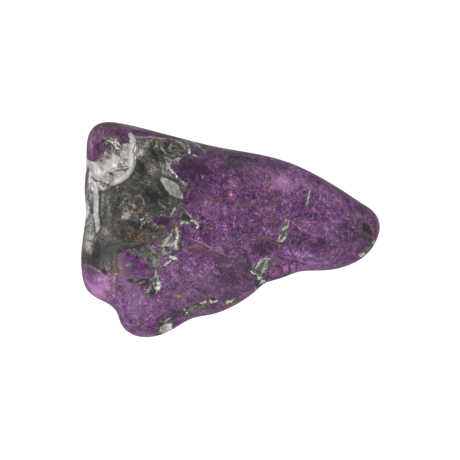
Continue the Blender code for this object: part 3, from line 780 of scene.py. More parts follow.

# Brushed strokes, which lighten what they lie on by an amount, or darken it where that is negative. A few are
# painted highlights: along the upper bevel, a facet edge and the rim of the narrow end
BRUSHED = (
    (0.14, ((148, 141, 0.8), (144, 148, 1.2), (137, 157, 1))),
    (0.16, ((147, 149, 0.8), (142, 153, 1.4), (135, 159, 1))),
    (0.12, ((137, 142, 0.6), (136.5, 150, 1), (135, 157, 0.8))),
    (-0.12, ((140, 146, 0.5), (138, 152, 0.7), (135.5, 157, 0.5))),
    (0.12, ((136, 141, 0.7), (142, 145, 1.2), (148, 148, 0.8))),
    (-0.16, ((152, 146, 1), (153, 152, 2), (157, 156, 2.4), (157, 161, 1.6))),
    (-0.14, ((140, 162, 1.4), (143, 167, 2.2), (146, 174, 1.6))),
    (0.22, ((171.5, 145, 0.5), (171, 149, 1.4), (172, 151, 0.8))),
    (0.26, ((162, 147, 0.8), (163.5, 150, 1.6), (166, 152, 0.8))),
    (0.24, ((158, 141, 0.9), (157, 145, 1.5), (155, 149, 0.8))),
    (-0.18, ((160, 145, 0.5), (161, 150, 0.7), (163, 153, 0.5))),
    (0.16, ((176, 141, 1.4), (182, 144, 1.4), (186, 148, 1.4))),
    (0.26, ((188, 145, 0.7), (190, 149, 1), (190, 154, 0.8))),
    (-0.20, ((183, 155, 0.8), (187, 152, 1), (189, 149, 0.6))),
    (0.14, ((166, 158, 0.9), (173, 161, 0.9), (180, 158, 0.6))),
    (-0.20, ((167, 146, 0.9), (168, 152, 1.2), (172, 154, 0.8))),
    (-0.16, ((160, 152, 1.2), (163, 157, 1.2), (165, 162, 1))),
    (0.26, ((136, 137.5, 0.6), (147, 137.5, 0.8), (156, 137.8, 0.7), (166, 139, 0.6))),
    (0.20, ((150, 164, 0.5), (152.5, 169, 0.8), (153.5, 174, 0.6))),
    (0.20, ((153, 164, 0.5), (155, 168, 0.7), (156, 173, 0.5))),
    (0.18, ((147, 166, 0.5), (150, 170, 0.7), (152, 175, 0.5))),
    (0.14, ((158, 163, 0.5), (158, 168, 0.6), (157, 173, 0.4))),
    (0.14, ((160, 162, 1), (163, 168, 1.4), (163, 174, 0.9))),
    (0.18, ((166, 161, 0.9), (170, 167, 1.6), (174, 172, 1.4))),
    (0.34, ((175.5, 174, 0.7), (177, 176.5, 1.2))),
    (-0.24, ((173.5, 174, 0.6), (176, 178, 0.7))),
    (-0.20, ((178.5, 178, 0.6), (180.5, 182, 0.8))),
    (-0.16, ((158, 180, 1.6), (162, 188, 2.4), (168, 196, 1.6))),
    (-0.14, ((149, 191, 3.4), (156, 197, 4.4), (164, 198, 2))),
    (-0.08, ((171, 181, 0.4), (171.5, 188, 0.4))),
    (0.18, ((158, 203, 0.4), (161, 200, 0.6), (164, 197.2, 0.4))),
    (0.22, ((162.8, 206.3, 0.4), (166, 205, 0.6), (169.5, 202.8, 0.4))),
    (0.16, ((158.6, 204.5, 0.3), (160.5, 207, 0.4), (162.5, 207.4, 0.3))),
    (0.24, ((136, 198, 0.6), (138.5, 195.5, 1.1), (141, 196, 1.1), (143.5, 200, 0.6))),
    (0.12, ((122, 198, 1.2), (124, 193, 1.2))),
    (-0.16, ((127, 201, 1), (132, 208, 1.3), (138, 211, 1))),
    (0.16, ((126, 204, 0.7), (131, 203, 0.9), (136, 207, 0.6))),
    (0.10, ((103.5, 190, 1), (103, 198, 1.4), (102, 210, 1.6), (103, 222, 1.2))),
    (0.08, ((109, 196, 0.9), (109, 208, 1.2), (108, 220, 0.8))),
    (-0.08, ((121, 191, 1.2), (119.5, 201, 1.7), (115.5, 213, 1.8), (112.5, 226, 1.4))),
    (-0.16, ((99.9, 192, 0.6), (99.9, 210, 0.7), (101, 225, 0.6))),
    (-0.10, ((99, 226, 0.6), (105, 214, 0.6), (110, 202, 0.5))),
    (0.08, ((101, 228, 0.5), (107, 216, 0.6), (112, 206, 0.5))),
    (0.12, ((103, 227, 2.2), (107, 233, 3))),
    (0.34, ((142, 220, 0.4), (146, 216, 0.6), (150, 213, 0.4))),
    (0.34, ((145, 222, 0.4), (148, 219, 0.6), (152.5, 217, 0.5))),
    (0.32, ((141, 229, 0.4), (144, 223, 0.6), (147, 221, 0.5))),
    (0.34, ((148, 223, 0.5), (151, 220, 0.8))),
    (0.30, ((141, 221, 0.5), (143.5, 219, 0.9))),
    (0.26, ((141, 227, 0.5), (142, 229, 0.8))),
    (-0.10, ((129, 221, 2.6), (138, 226, 3.2), (147, 229, 2.6), (157, 231, 2))),
    (0.44, ((171.5, 215.5, 0.4), (174, 211, 0.7), (175.5, 207.5, 0.5))),
    (0.34, ((176.5, 226.5, 0.5), (177.5, 232, 0.9), (177.5, 238, 1.3), (176, 244, 1.4), (177.5, 249, 1))),
    (0.2, ((172, 233, 0.5), (169, 237, 0.9), (165, 240, 0.7))),
    (-0.14, ((174, 233, 0.4), (173, 237, 0.5), (170.5, 240, 0.4))),
    (-0.08, ((172.5, 240, 0.5), (172.5, 244, 0.6), (173.5, 249, 0.4))),
    (0.14, ((162.5, 246, 0.6), (167, 240.5, 0.9), (171.5, 235, 0.6))),
    (0.14, ((171.5, 229, 0.6), (172.5, 236, 0.9), (172, 241, 0.6))),
    (0.14, ((163.5, 253, 0.6), (168.5, 248.5, 1), (173.5, 243, 0.6))),
    (-0.18, ((166, 247, 0.6), (168, 250, 0.7))),
    (0.14, ((163, 246, 0.8), (167, 242, 1), (170, 239, 0.7))),
    (0.12, ((163, 250, 0.6), (167, 253, 0.8))),
    (-0.24, ((180.5, 243, 0.5), (181, 248, 0.7))),
    (-0.22, ((156.5, 277, 0.7), (156, 282, 1), (156.5, 287, 0.7))),
    (0.24, ((158.5, 283, 0.7), (159.5, 286.5, 0.9))),
    (-0.3, ((155.5, 290.5, 0.6), (159, 291, 0.7))),
    # Painted highlight along the facet edge beside the groove at the lower left
    (0.12, ((115, 277, 0.4), (115.4, 288, 0.6), (116, 299, 0.5))),
    (0.3, ((125.5, 318.5, 0.3), (129, 316.5, 0.5), (134, 315, 0.5), (142, 313.5, 0.3))),
    (0.2, ((123, 203, 0.5), (127, 199, 0.8), (133, 196.5, 0.7))),
    (0.2, ((141.5, 197, 0.5), (145, 201, 0.8), (144.5, 206, 0.5))),
    (0.18, ((120.5, 207, 0.5), (122, 202, 0.7))),
    (0.22, ((129, 204, 0.4), (132, 205.5, 0.6), (135, 204, 0.4))),
    (0.2, ((93, 130, 0.6), (96, 135, 0.9), (95, 140, 0.6))),
    (0.16, ((101, 128, 0.6), (104, 132, 0.9), (103, 137, 0.6))),
    (0.16, ((90, 144, 0.6), (93, 149, 0.9), (92, 155, 0.6))),
    (-0.2, ((104, 141, 0.8), (99, 147, 1), (101, 152, 0.7))),
    (0.22, ((84.5, 214, 0.8), (83, 228, 0.9), (81.5, 246, 0.8))),
    (-0.12, ((119, 244, 1), (127, 247, 1.4), (140, 246.5, 1.4), (147, 242, 0.9))),
    (0.12, ((149, 254, 1.8), (154, 258, 2.4), (155, 265, 1.8))),
    (0.26, ((106, 262, 0.5), (107.5, 270, 0.7))),
    (0.24, ((109.3, 262, 0.5), (110.3, 270, 0.6))),
    (-0.24, ((103, 262, 0.7), (104.5, 270, 0.9))),
    (0.26, ((85, 264.5, 0.5), (93, 267.5, 0.6), (101, 271.5, 0.5))),
    (-0.26, ((91.5, 183, 0.6), (90.5, 189, 0.8), (92, 194, 0.5))),
    (-0.26, ((91.5, 204, 0.8), (92, 212, 0.9))),
    (-0.20, ((86, 222, 0.5), (90, 217, 0.7), (93, 211, 0.5))),
    (-0.16, ((85, 229, 0.5), (89, 225, 0.7), (94, 219, 0.5))),
    (-0.20, ((88, 196, 0.6), (89, 201, 0.6))),
    (-0.24, ((106, 157, 0.5), (110, 158.5, 0.6), (113, 156, 0.5))),
    (-0.22, ((107, 176, 0.8), (111, 173.5, 1), (114, 176, 0.6))),
    (-0.24, ((119, 166, 0.5), (124, 164, 0.7), (128, 167, 0.6))),
    (-0.22, ((116, 171.5, 0.5), (121, 170, 0.7), (126, 171, 0.5))),
    (-0.12, ((128.6, 146, 0.6), (129, 152, 0.8), (128.5, 158, 0.6))),
    (-0.18, ((115, 150, 0.6), (119, 155, 0.8), (122, 158, 0.5))),
    (0.10, ((131, 136, 1.4), (133, 146, 2.2), (132, 155, 2.2), (132.5, 162, 2), (128.5, 172, 1.8))),
    (0.12, ((129, 173, 1.8), (122, 179, 1.6), (117, 182, 1))),
    (0.16, ((95, 183, 1.4), (97, 187, 1.6), (96.5, 192, 1.2))),
    (-0.16, ((101, 184, 0.7), (105, 186, 1), (110, 184, 0.8))),
    (-0.14, ((99, 187, 0.6), (101, 191, 0.8))),
    (-0.14, ((112, 189, 0.8), (108, 186, 0.8))),
    (-0.10, ((107, 155, 2), (114, 152, 2.6), (121, 154, 3), (126, 160, 2.4))),
    (0.14, ((96, 166, 2.6), (98, 172, 3.2))),
    (0.09, ((114, 156, 1.8), (116, 161, 2.4), (114, 165, 1.8))),
    (-0.18, ((120, 161, 0.5), (123, 159.5, 0.6), (126, 161, 0.5), (128, 160, 0.4))),
    (-0.18, ((121, 164, 0.5), (124, 167, 0.6), (128, 166, 0.5))),
    (-0.18, ((122, 169.5, 0.5), (126, 170.5, 0.6), (129, 168.5, 0.5))),
    (-0.16, ((114, 169, 0.5), (117, 171, 0.6), (121, 169, 0.5))),
    (-0.16, ((110, 172.5, 0.5), (113, 175, 0.6), (112, 178, 0.5))),
    (-0.14, ((103, 176.5, 0.5), (106, 178, 0.6), (108, 176, 0.5))),
    (-0.08, ((101, 168, 0.8), (105, 172, 1), (106, 177, 0.7))),
    (-0.10, ((90, 166, 0.8), (91.5, 172, 0.8))),
    (0.14, ((98, 182, 1), (101, 187, 1.6))),
    (0.36, ((99.6, 133, 0.6), (100.3, 133.4, 0.6))),
    (0.40, ((97.6, 141, 0.6), (98.2, 141.2, 0.6))),
    (0.30, ((93, 146.3, 0.6), (93.8, 146, 0.6))),
    (0.26, ((91.3, 142.5, 0.6), (91.8, 143.5, 0.6))),
    (0.28, ((103, 127.5, 0.5), (103.8, 127.8, 0.5))),
    (0.10, ((100, 130, 1.4), (98, 138, 1.4))),
    (-0.12, ((132, 131, 0.5), (144, 133.5, 1), (157, 135.6, 1), (170, 137.5, 0.6))),
    # Painted highlight along the upper bevel
    (0.18, ((118, 124.2, 0.5), (128, 126.3, 0.8), (139, 128.7, 0.9), (150, 131.2, 0.6))),
    # Painted highlight along the front lobe's left flank
    (0.08, ((118.5, 280, 0.8), (120.5, 292, 1.5), (121.5, 304, 1.7), (124, 316, 1.3))),
    (-0.1, ((116.2, 279, 0.3), (117, 290, 0.5), (118, 301, 0.3))),
    (0.08, ((129, 282, 1), (130, 296, 1.2), (129, 312, 0.9))),
    (0.22, ((227, 181.5, 0.8), (230, 180.8, 1.1), (233.5, 182, 0.8))),
    (0.16, ((232, 184, 0.7), (235, 185.5, 0.9))),
    (0.26, ((230, 191.5, 0.8), (231.3, 195, 1.3))),
    (0.12, ((228, 185.5, 0.5), (231, 186, 0.6))),
    (0.20, ((214, 165, 0.4), (218, 167, 0.6), (221, 170, 0.7), (222, 173, 0.5))),
    (0.12, ((206, 166, 0.6), (210, 168, 0.8), (214, 171, 0.6))),
    (0.16, ((223, 175, 0.5), (227, 177, 0.6))),
    (0.50, ((202, 176, 0.7), (202.6, 178, 0.8))),
    (0.90, ((197, 227, 0.7), (197.8, 227.6, 0.8))),
    (0.35, ((116.5, 274, 0.6), (117, 274, 0.6))),
    (-0.15, ((196, 217, 0.6), (205, 219, 0.9), (212, 222, 0.5))),
    (0.12, ((189, 233, 1), (197, 237, 1.4), (205, 240, 0.9))),
    (0.08, ((260, 261, 0.6), (257.5, 265, 0.8), (256, 269, 0.7))),
    (-0.16, ((258.5, 272, 0.4), (261.5, 266, 0.6), (264.5, 260.5, 0.4))),
    (0.16, ((260, 273, 0.4), (263, 267, 0.6), (266.5, 261, 0.4))),
    (-0.16, ((263, 263, 0.8), (261, 268, 1.2), (260.5, 273, 0.7))),
    (0.14, ((267, 262, 0.5), (266, 267, 0.7), (263, 271, 0.6), (261, 275, 0.5))),
    (-0.12, ((268, 266, 0.5), (266, 271, 0.7), (264, 276, 0.6))),
    (0.24, ((257, 275, 0.6), (259, 277.5, 0.9), (261, 275, 0.6))),
    (-0.30, ((257, 271, 0.4), (259, 272.5, 0.6))),
    (-0.34, ((255, 275.5, 0.5), (256.3, 277, 0.6))),
    (-0.30, ((262, 276, 0.6), (263.5, 278.5, 0.8))),
    (-0.22, ((272, 166, 0.7), (276, 171, 1.2), (279, 176, 0.6))),
    (-0.12, ((315, 180.5, 0.8), (319, 182, 1.2))),
    (-0.15, ((245, 254, 1.2), (249, 262, 2), (246, 271, 1.4))),
    (0.12, ((297, 227, 0.9), (304, 231, 0.9), (313, 235, 0.6))),
    (0.12, ((284, 247, 1), (288, 251, 1.2))),
    (0.12, ((272, 263, 1.2), (276, 270, 1.6), (275, 274, 1.2))),
    (0.10, ((284, 271, 1.4), (287, 266, 1.2))),
    (0.09, ((290, 251, 0.5), (302, 256, 0.7), (316, 257, 0.5))),
    (0.09, ((300, 260, 0.5), (314, 263, 0.8), (330, 262, 0.6))),
    (-0.08, ((286, 255, 0.5), (300, 258.5, 0.7), (318, 260, 0.5))),
    (0.08, ((302, 268, 0.6), (318, 268, 0.8), (336, 266, 0.6))),
    (0.08, ((206, 201, 1.4), (205, 208, 2.2))),
    (0.14, ((225, 202, 0.9), (226, 210, 1.3))),
    (-0.10, ((217, 193, 1), (220, 198, 1.2))),
    (-0.10, ((297, 232, 0.9), (305, 236, 1.1))),
    (-0.12, ((192, 285, 0.8), (198, 288, 1.2), (204, 291, 1))),
    (-0.12, ((219, 268, 1), (224, 275, 1.2), (220, 282, 1))),
    (0.08, ((223, 272, 0.5), (229, 277, 0.6), (236, 274, 0.5))),
    (0.08, ((240, 241, 0.5), (246, 243, 0.8), (248, 248, 0.6))),
    (0.16, ((168, 276.5, 0.9), (173, 274.5, 1.3))),
    (-0.10, ((169, 305, 1), (176, 312, 1.6), (174, 320, 1))),
    (-0.14, ((161, 316, 0.9), (166, 313, 1), (170, 309, 0.7))),
    (0.2, ((164.5, 323, 0.5), (167.5, 320.5, 0.8), (170.5, 317.8, 0.5))),
    (-0.16, ((169.5, 320.5, 0.7), (172.5, 319, 0.8), (174, 321.5, 0.6))),
    (-0.14, ((161, 325, 0.7), (164, 323.2, 0.8))),
    (0.16, ((169.5, 324.5, 0.7), (171, 328, 0.9))),
    (-0.16, ((362.5, 253, 0.5), (366, 251, 0.6))),
    (-0.2, ((361, 258, 0.6), (366, 256, 0.6))),
    (0.12, ((364.5, 256, 0.4), (368, 252, 0.5), (369.5, 248, 0.4))),
    # Painted highlight along the rim of the narrow end
    (0.28, ((378, 221, 0.5), (378.8, 228, 0.8), (378, 235, 0.5))),
    (0.12, ((341, 231, 0.5), (342, 236, 0.6), (343, 240, 0.4))),
    (-0.12, ((347, 205, 0.8), (351, 209, 1.4), (354, 214, 1))),
    (-0.24, ((134, 260, 0.5), (138, 262, 0.6))),
    (0.24, ((124.5, 265.8, 0.6), (127.5, 264.5, 0.9), (130, 265, 0.6))),
)

# The underside has marks of its own
UNDER_ROCK_PATCHES = (
    (
        (70, 160), (92, 168), (112, 165), (128, 176), (134, 190), (126, 204), (131, 221), (142, 233),
        (136, 247), (120, 251), (108, 262), (90, 266), (70, 262),
    ),
    ((214, 176), (228, 171), (241, 176), (247, 186), (239, 196), (226, 199), (214, 192), (209, 183)),
)
UNDER_ROCK_STROKES = (
    ((236, 196, 3), (246, 207, 4.5), (262, 215, 3.6), (280, 219, 2.4), (298, 228, 1.2)),
    ((156, 300, 1.5), (168, 290, 3.2), (181, 284, 4), (192, 274, 2)),
    ((330, 214, 1), (341, 221, 2.4), (350, 231, 1.4)),
    ((166, 330, 3), (162, 318, 4), (170, 309, 2)),
)
UNDER_PALE_PATCHES = (((72, 176), (90, 180), (104, 178), (114, 186), (108, 199), (94, 204), (74, 200)),)
UNDER_PALE_STROKES = (
    ((112, 186, 2), (120, 200, 2.6), (116, 216, 2), (124, 232, 2.4), (120, 244, 1.4)),
    ((220, 178, 2), (229, 182, 3), (237, 189, 2.4), (246, 205, 1.8), (262, 214, 1.4)),
    ((168, 290, 1), (181, 284, 1.6), (190, 276, 0.8)),
    ((78, 216, 3), (88, 226, 3.6), (94, 240, 2.6)),
)
UNDER_ROCK_TONES = ((104, 216, 14, 8, 60, -0.25), (90, 250, 14, 7, 10, -0.15), (122, 240, 8, 6, 0, 0.15))
UNDER_GRAINY = ((110, 190, 22, 14, 30, 0.8), (228, 184, 14, 10, 0, 0.9), (176, 287, 14, 8, 140, 0.8))
UNDER_WARM = ((120, 240, 20, 14, 0, 0.8), (230, 190, 14, 10, 0, 0.5))
UNDER_PURPLE_TONES = (
    (250, 240, 34, 16, 10, -0.5),
    (180, 200, 24, 18, 40, 0.35),
    (300, 200, 26, 12, 160, 0.3),
    (190, 250, 26, 14, 0, -0.25),
    (340, 236, 18, 10, 10, 0.4),
    (110, 290, 20, 12, 0, 0.3),
    (130, 145, 24, 8, 10, -0.5),
)
UNDER_VIVID = (
    (200, 225, 26, 14, 20, 0.7),
    (290, 250, 22, 10, 0, 0.5),
    (150, 160, 22, 10, 0, -0.4),
    (330, 210, 20, 10, 0, -0.3),
)
UNDER_RUST_STROKES = (
    ((126, 204, 1.2), (131, 221, 1.6), (138, 230, 1)),
    ((212, 192, 1), (224, 199, 1.4), (238, 198, 1)),
    ((108, 262, 1), (120, 252, 1.4), (134, 248, 0.8)),
)
UNDER_BROWN_VEINS = (
    ((134, 190, 0.6), (152, 196, 1.1), (172, 190, 0.9), (194, 184, 1.1), (212, 184, 0.7)),
    ((172, 190, 0.5), (178, 212, 1), (174, 236, 0.9), (184, 262, 1), (182, 284, 0.6)),
    ((247, 186, 0.5), (268, 180, 0.9), (292, 188, 1), (318, 204, 0.9), (332, 216, 0.5)),
    ((142, 233, 0.6), (166, 244, 0.9), (174, 236, 0.5)),
    ((262, 216, 0.5), (258, 236, 0.9), (268, 256, 0.8), (264, 272, 0.4)),
)
UNDER_TAN_VEINS = (
    ((150, 262, 0.4), (166, 270, 0.9), (182, 272, 0.6)),
    ((284, 232, 0.4), (302, 240, 0.9), (318, 240, 0.5)),
)
UNDER_CRACKS = (
    ((196, 150, 0.4), (204, 164, 0.8), (214, 176, 0.5)),
    ((300, 262, 0.4), (304, 248, 0.8), (298, 230, 0.5)),
    ((84, 206, 0.5), (96, 214, 0.8), (112, 212, 0.5)),
)
UNDER_PITS = (
    (238, 214, 4, 2, 30, 0.8),
    (168, 296, 4, 2, 150, 0.9),
    (120, 226, 3, 2, 60, 0.7),
    (306, 214, 3, 1.6, 10, 0.7),
)
UNDER_BRUSHED = (
    (0.20, ((80, 182, 1.6), (96, 190, 2.4), (110, 188, 1.6))),
    (-0.20, ((84, 200, 1.2), (98, 206, 2), (112, 204, 1.4))),
    (0.16, ((86, 214, 1.4), (90, 230, 2), (98, 246, 1.4))),
    (-0.18, ((104, 220, 2), (112, 236, 2.6), (106, 252, 1.8))),
    (0.26, ((222, 180, 0.8), (232, 184, 1.4), (240, 192, 1))),
    (-0.22, ((216, 186, 1), (228, 194, 1.4))),
    (0.16, ((150, 214, 1.2), (168, 208, 2), (186, 214, 1.2))),
    (-0.18, ((200, 240, 1.4), (222, 250, 2.2), (244, 246, 1.4))),
    (0.18, ((300, 200, 1.2), (316, 196, 1.8), (330, 202, 1))),
    (-0.16, ((282, 206, 1), (300, 216, 1.8), (318, 218, 1.2))),
)

# All marks of each side of the stone, by the name of the field that they make, and the fields of each kind
FACE_MARKS = {
    "rock": (ROCK_PATCHES, ROCK_STROKES),
    "island": (PURPLE_PATCHES, PURPLE_STROKES),
    "pale": (PALE_PATCHES, PALE_STROKES),
    "rust": ((), RUST_STROKES),
    "rock_tone": ROCK_TONES,
    "grainy": GRAINY,
    "warm": WARM,
    "tone": PURPLE_TONES_AND_PAINTED_LIGHT,
    "vivid": VIVID,
    "pit": PITS,
    "brown_vein": BROWN_VEINS,
    "tan_vein": TAN_VEINS_AND_BEVEL_HIGHLIGHT,
    "crack": CRACKS,
    "brushed": BRUSHED,
}
UNDER_MARKS = {
    "rock": (UNDER_ROCK_PATCHES, UNDER_ROCK_STROKES),
    "island": ((), ()),
    "pale": (UNDER_PALE_PATCHES, UNDER_PALE_STROKES),
    "rust": ((), UNDER_RUST_STROKES),
    "rock_tone": UNDER_ROCK_TONES,
    "grainy": UNDER_GRAINY,
    "warm": UNDER_WARM,
    "tone": UNDER_PURPLE_TONES,
    "vivid": UNDER_VIVID,
    "pit": UNDER_PITS,
    "brown_vein": UNDER_BROWN_VEINS,
    "tan_vein": UNDER_TAN_VEINS,
    "crack": UNDER_CRACKS,
    "brushed": UNDER_BRUSHED,
}
AREAS = ("rock", "island", "pale", "rust")
SPOTS = ("rock_tone", "grainy", "warm", "tone", "vivid", "pit")
LINES = ("brown_vein", "tan_vein", "crack")

# How far from a mark its field is worked out and how soft a brushed edge is, in millimetres, and the steps in
# which a curve is drawn between two of its points
MARK_REACH = 2.5
BRUSH_EDGE = 0.11
PATCH_STEPS = 3
STROKE_STEPS = 4

# Over this height below the rim the face's marks give way to the underside's. Noise with lumps of this size
# makes the height uneven by up to this share. Both lengths are in millimetres.
TURN_HEIGHT = 5.0
TURN_LUMPS = 2.6
TURN_UNEVEN = 0.6
TURN_SEED = 23

# Unevenness of the whole surface and of the rock: height and size of the lumps in millimetres, and a seed
WORN_WAVES = ((0.05, 3.1, 1), (0.03, 1.3, 2))
ROCK_WAVES = ((0.05, 1.1, 3), (0.04, 0.55, 4))

# How far the rock is worn down, how far pale quartz stands over it and how deep pits are, in millimetres
ROCK_WORN = 0.10
PALE_RAISED = 0.05
PIT_DEPTH = 0.30

# Grooves: the lines they follow, and their depth and half width in millimetres
GROOVES = (("crack", 0.10, 0.35), ("brown_vein", 0.03, 0.30))

# All this fine relief fades in over a depth from the rim and over a height from the flat, in millimetres
RIM_FADE = 1.0
FLAT_FADE = 0.6

# In the shader, in millimetres: a line's soft edge, how far off its middle it ends, the half widths over
# which it comes up from nothing, and how far to its side a tan vein's dark lip lies
LINE_SOFT = (-0.07, 0.05)
LINE_END = (0.30, 0.50)
LINE_THIN = (0.02, 0.08)
LIP_OFFSET = -0.20

# Directions in degrees that the fibres and the rock's streaks take from plate to plate
STREAK_TURNS = (-34, 48, 4, 82)

# Colours and tints of the finer marks
DULL_GREY = (0.034, 0.029, 0.036, 1)
PINK_TINT = (1.0, 0.70, 0.84, 1)
BLUE_TINT = (0.80, 0.90, 1.0, 1)
WARM_TINT = (1.06, 1.02, 0.88, 1)
BROWN_TINT = (1.04, 0.88, 0.78, 1)
DARK_RUST = (0.050, 0.022, 0.014, 1)
ORANGE_RUST = (0.27, 0.115, 0.065)
PINK_RUST = (0.66, 0.22, 0.15)
BROWN_VEIN = (0.080, 0.047, 0.022, 1)
# The tan colour also paints the highlight along the upper bevel
TAN_VEIN_AND_HIGHLIGHT = (0.30, 0.155, 0.125, 1)
TAN_VEIN_LIP = (0.022, 0.010, 0.020, 1)
CRACK_DARK = (0.024, 0.012, 0.018, 1)
PIT_DARK = (0.026, 0.014, 0.011, 1)

# The polish: its roughness, the strength of its shine, and the height in millimetres that the bump stands for
POLISH_ROUGHNESS = 0.33
POLISH_SHINE = 0.28
BUMP_HEIGHT = 0.06

# The studio, in metres where the name doesn't say millimetres. The camera sees the whole chart at the height
# of the stone's rim.
CAMERA_SENSOR_MM = 36.0
CAMERA_REACH = 10.0
RIM_HEIGHT_MM = 8.0
FLOOR_SIZE = 4.0
FLOOR_GREY = (0.35, 0.35, 0.35, 1)
SOFTBOX_SIZE = (0.5, 0.5)
KEY_PLACE = (-0.34, -0.42, 0.46)
FILL_PLACE = (0.5, 0.3, 0.5)

# Colour of the light tent from straight down (0) to straight up (1), with its dark opening for the camera
TENT_STOPS = (
    (0.0, (0.22, 0.22, 0.22)),
    (0.46, (0.25, 0.25, 0.25)),
    (0.56, (1.0, 1.0, 1.0)),
    (0.86, (1.0, 1.0, 1.0)),
    (0.97, (0.25, 0.25, 0.25)),
)


def closed_curve(points, steps):
    """Smooth closed curve through the points: cubic spans whose slope and bend agree at each point."""
    points = np.array(points, dtype=float)
    after = np.roll(points, -1, axis=0)
    span = np.linalg.norm(after[:, :2] - points[:, :2], axis=1)
    count = len(points)
    rows = np.arange(count)
    before = (rows - 1) % count
    system = np.zeros((count, count))
    system[rows, before] = 1 / span[before]
    system[rows, rows] = 2 / span[before] + 2 / span
    system[rows, (rows + 1) % count] = 1 / span
    rise = (after - points) / span[:, None] ** 2
    slope = np.linalg.solve(system, 3 * (rise + rise[before]))
    t = (np.arange(steps) / steps)[None, :, None]
    reach = span[:, None, None]
    start = points[:, None, :]
    end = after[:, None, :]
    start_slope = slope[:, None, :] * reach
    end_slope = np.roll(slope, -1, axis=0)[:, None, :] * reach
    curve = (2 * t**3 - 3 * t**2 + 1) * start + (t**3 - 2 * t**2 + t) * start_slope
    curve = curve + (3 * t**2 - 2 * t**3) * end + (t**3 - t**2) * end_slope
    return curve.reshape(-1, points.shape[1])


def fitted_outline(length, width):
    """The outline as a fine closed curve, in millimetres, scaled so that its box is length by width."""
    curve = closed_curve(OUTLINE, OUTLINE_STEPS)
    low = curve.min(axis=0)
    high = curve.max(axis=0)
    return (curve - (low + high) / 2) * (length, width) / (high - low)


def around(angle, table):
    """Values of a table of (degrees, value, ...) rows at these angles, eased smoothly from row to row."""
    table = np.array(table, dtype=float)
    turns = np.concatenate((table[:, 0], [table[0, 0] + 360]))
    values = np.vstack((table[:, 1:], table[:1, 1:]))
    degrees = np.degrees(angle) % 360
    row = np.searchsorted(turns, degrees, side="right") - 1
    part = (degrees - turns[row]) / (turns[row + 1] - turns[row])
    ease = (0.5 - 0.5 * np.cos(np.pi * part))[:, None]
    return (values[row] * (1 - ease) + values[row + 1] * ease).T


def depth_inside(x, y, outline):
    """How far each point lies inside the outline, as a smooth field with no ridge along its middle.

    The sum of 1 / distance^4 along a straight edge at distance h is pi / (2 h^3), so the sum over the whole
    outline, turned back into a distance, is the true depth near the edge and an even average further in.
    """
    along = np.roll(outline, -1, axis=0) - outline
    length = np.linalg.norm(along, axis=1)
    along = along / length[:, None]
    total = np.zeros(len(x))
    for a, direction, reach in zip(outline, along, length):
        dx = x - a[0]
        dy = y - a[1]
        first = -(dx * direction[0] + dy * direction[1])
        last = first + reach
        h = np.maximum(np.abs(dx * direction[1] - dy * direction[0]), 1e-3)
        turn = np.arctan(last / h) - np.arctan(first / h)
        rest = last * h / (last**2 + h**2) - first * h / (first**2 + h**2)
        total += (turn + rest) / (2 * h**3)
    return (2 / math.pi * total) ** (-1 / 3)


def facet_planes(x, y, table, sign):
    """Height of each facet's plane: its point's, plus sign (-1 or +1) times its slope times the way along."""
    planes = []
    for px, py, height, direction, fall in table:
        angle = math.radians(direction)
        along = (x - px) * math.cos(angle) + (y - py) * math.sin(angle)
        planes.append(height + sign * along * fall)
    return np.array(planes)


def relief(x, y, table):
    """Sum of soft round hollows and lumps, each exp(-r^2) in its own stretched and turned directions."""
    total = np.zeros(len(x))
    for px, py, half_length, half_width, direction, height in table:
        angle = math.radians(direction)
        along = (x - px) * math.cos(angle) + (y - py) * math.sin(angle)
        across = (y - py) * math.cos(angle) - (x - px) * math.sin(angle)
        total += height * np.exp(-((along / half_length) ** 2) - (across / half_width) ** 2)
    return total


def upper_face(x, y):
    """The lowest of the upper facets at each point, run together softly, with its relief.

    The soft lowest of the planes is -blend * log(sum of exp(-plane / blend)).
    """
    planes = facet_planes(x, y, UPPER_FACETS, -1)
    lowest = planes.min(axis=0)
    soft = lowest - FACET_BLEND * np.log(np.exp((lowest - planes) / FACET_BLEND).sum(axis=0))
    return soft + relief(x, y, UPPER_RELIEF)


def under_face(x, y):
    """The highest of the under facets at each point, run together softly, with its relief.

    The soft highest of the planes is blend * log(sum of exp(plane / blend)).
    """
    planes = facet_planes(x, y, UNDER_FACETS, 1)
    highest = planes.max(axis=0)
    soft = highest + FACET_BLEND * np.log(np.exp((planes - highest) / FACET_BLEND).sum(axis=0))
    return soft + relief(x, y, UNDER_RELIEF)


def shoulder(depth, radius):
    """Share of the face's height reached at a depth: a rounded quarter turn, upright at the rim.

    It is (1 - part^power)^(1 / power), where part is what is left of the radius.
    """
    inward = 1 - np.clip(depth / radius, 0, 1)
    return (1 - inward**SHOULDER_POWER) ** (1 / SHOULDER_POWER)


def cut_flat(z):
    """The underside cut off at height 0. Within ease of it the height becomes (z + ease)^2 / (4 ease)."""
    eased = (z + FLAT_EASE) ** 2 / (4 * FLAT_EASE)
    return np.where(z > FLAT_EASE, z, np.where(z < -FLAT_EASE, 0.0, eased))


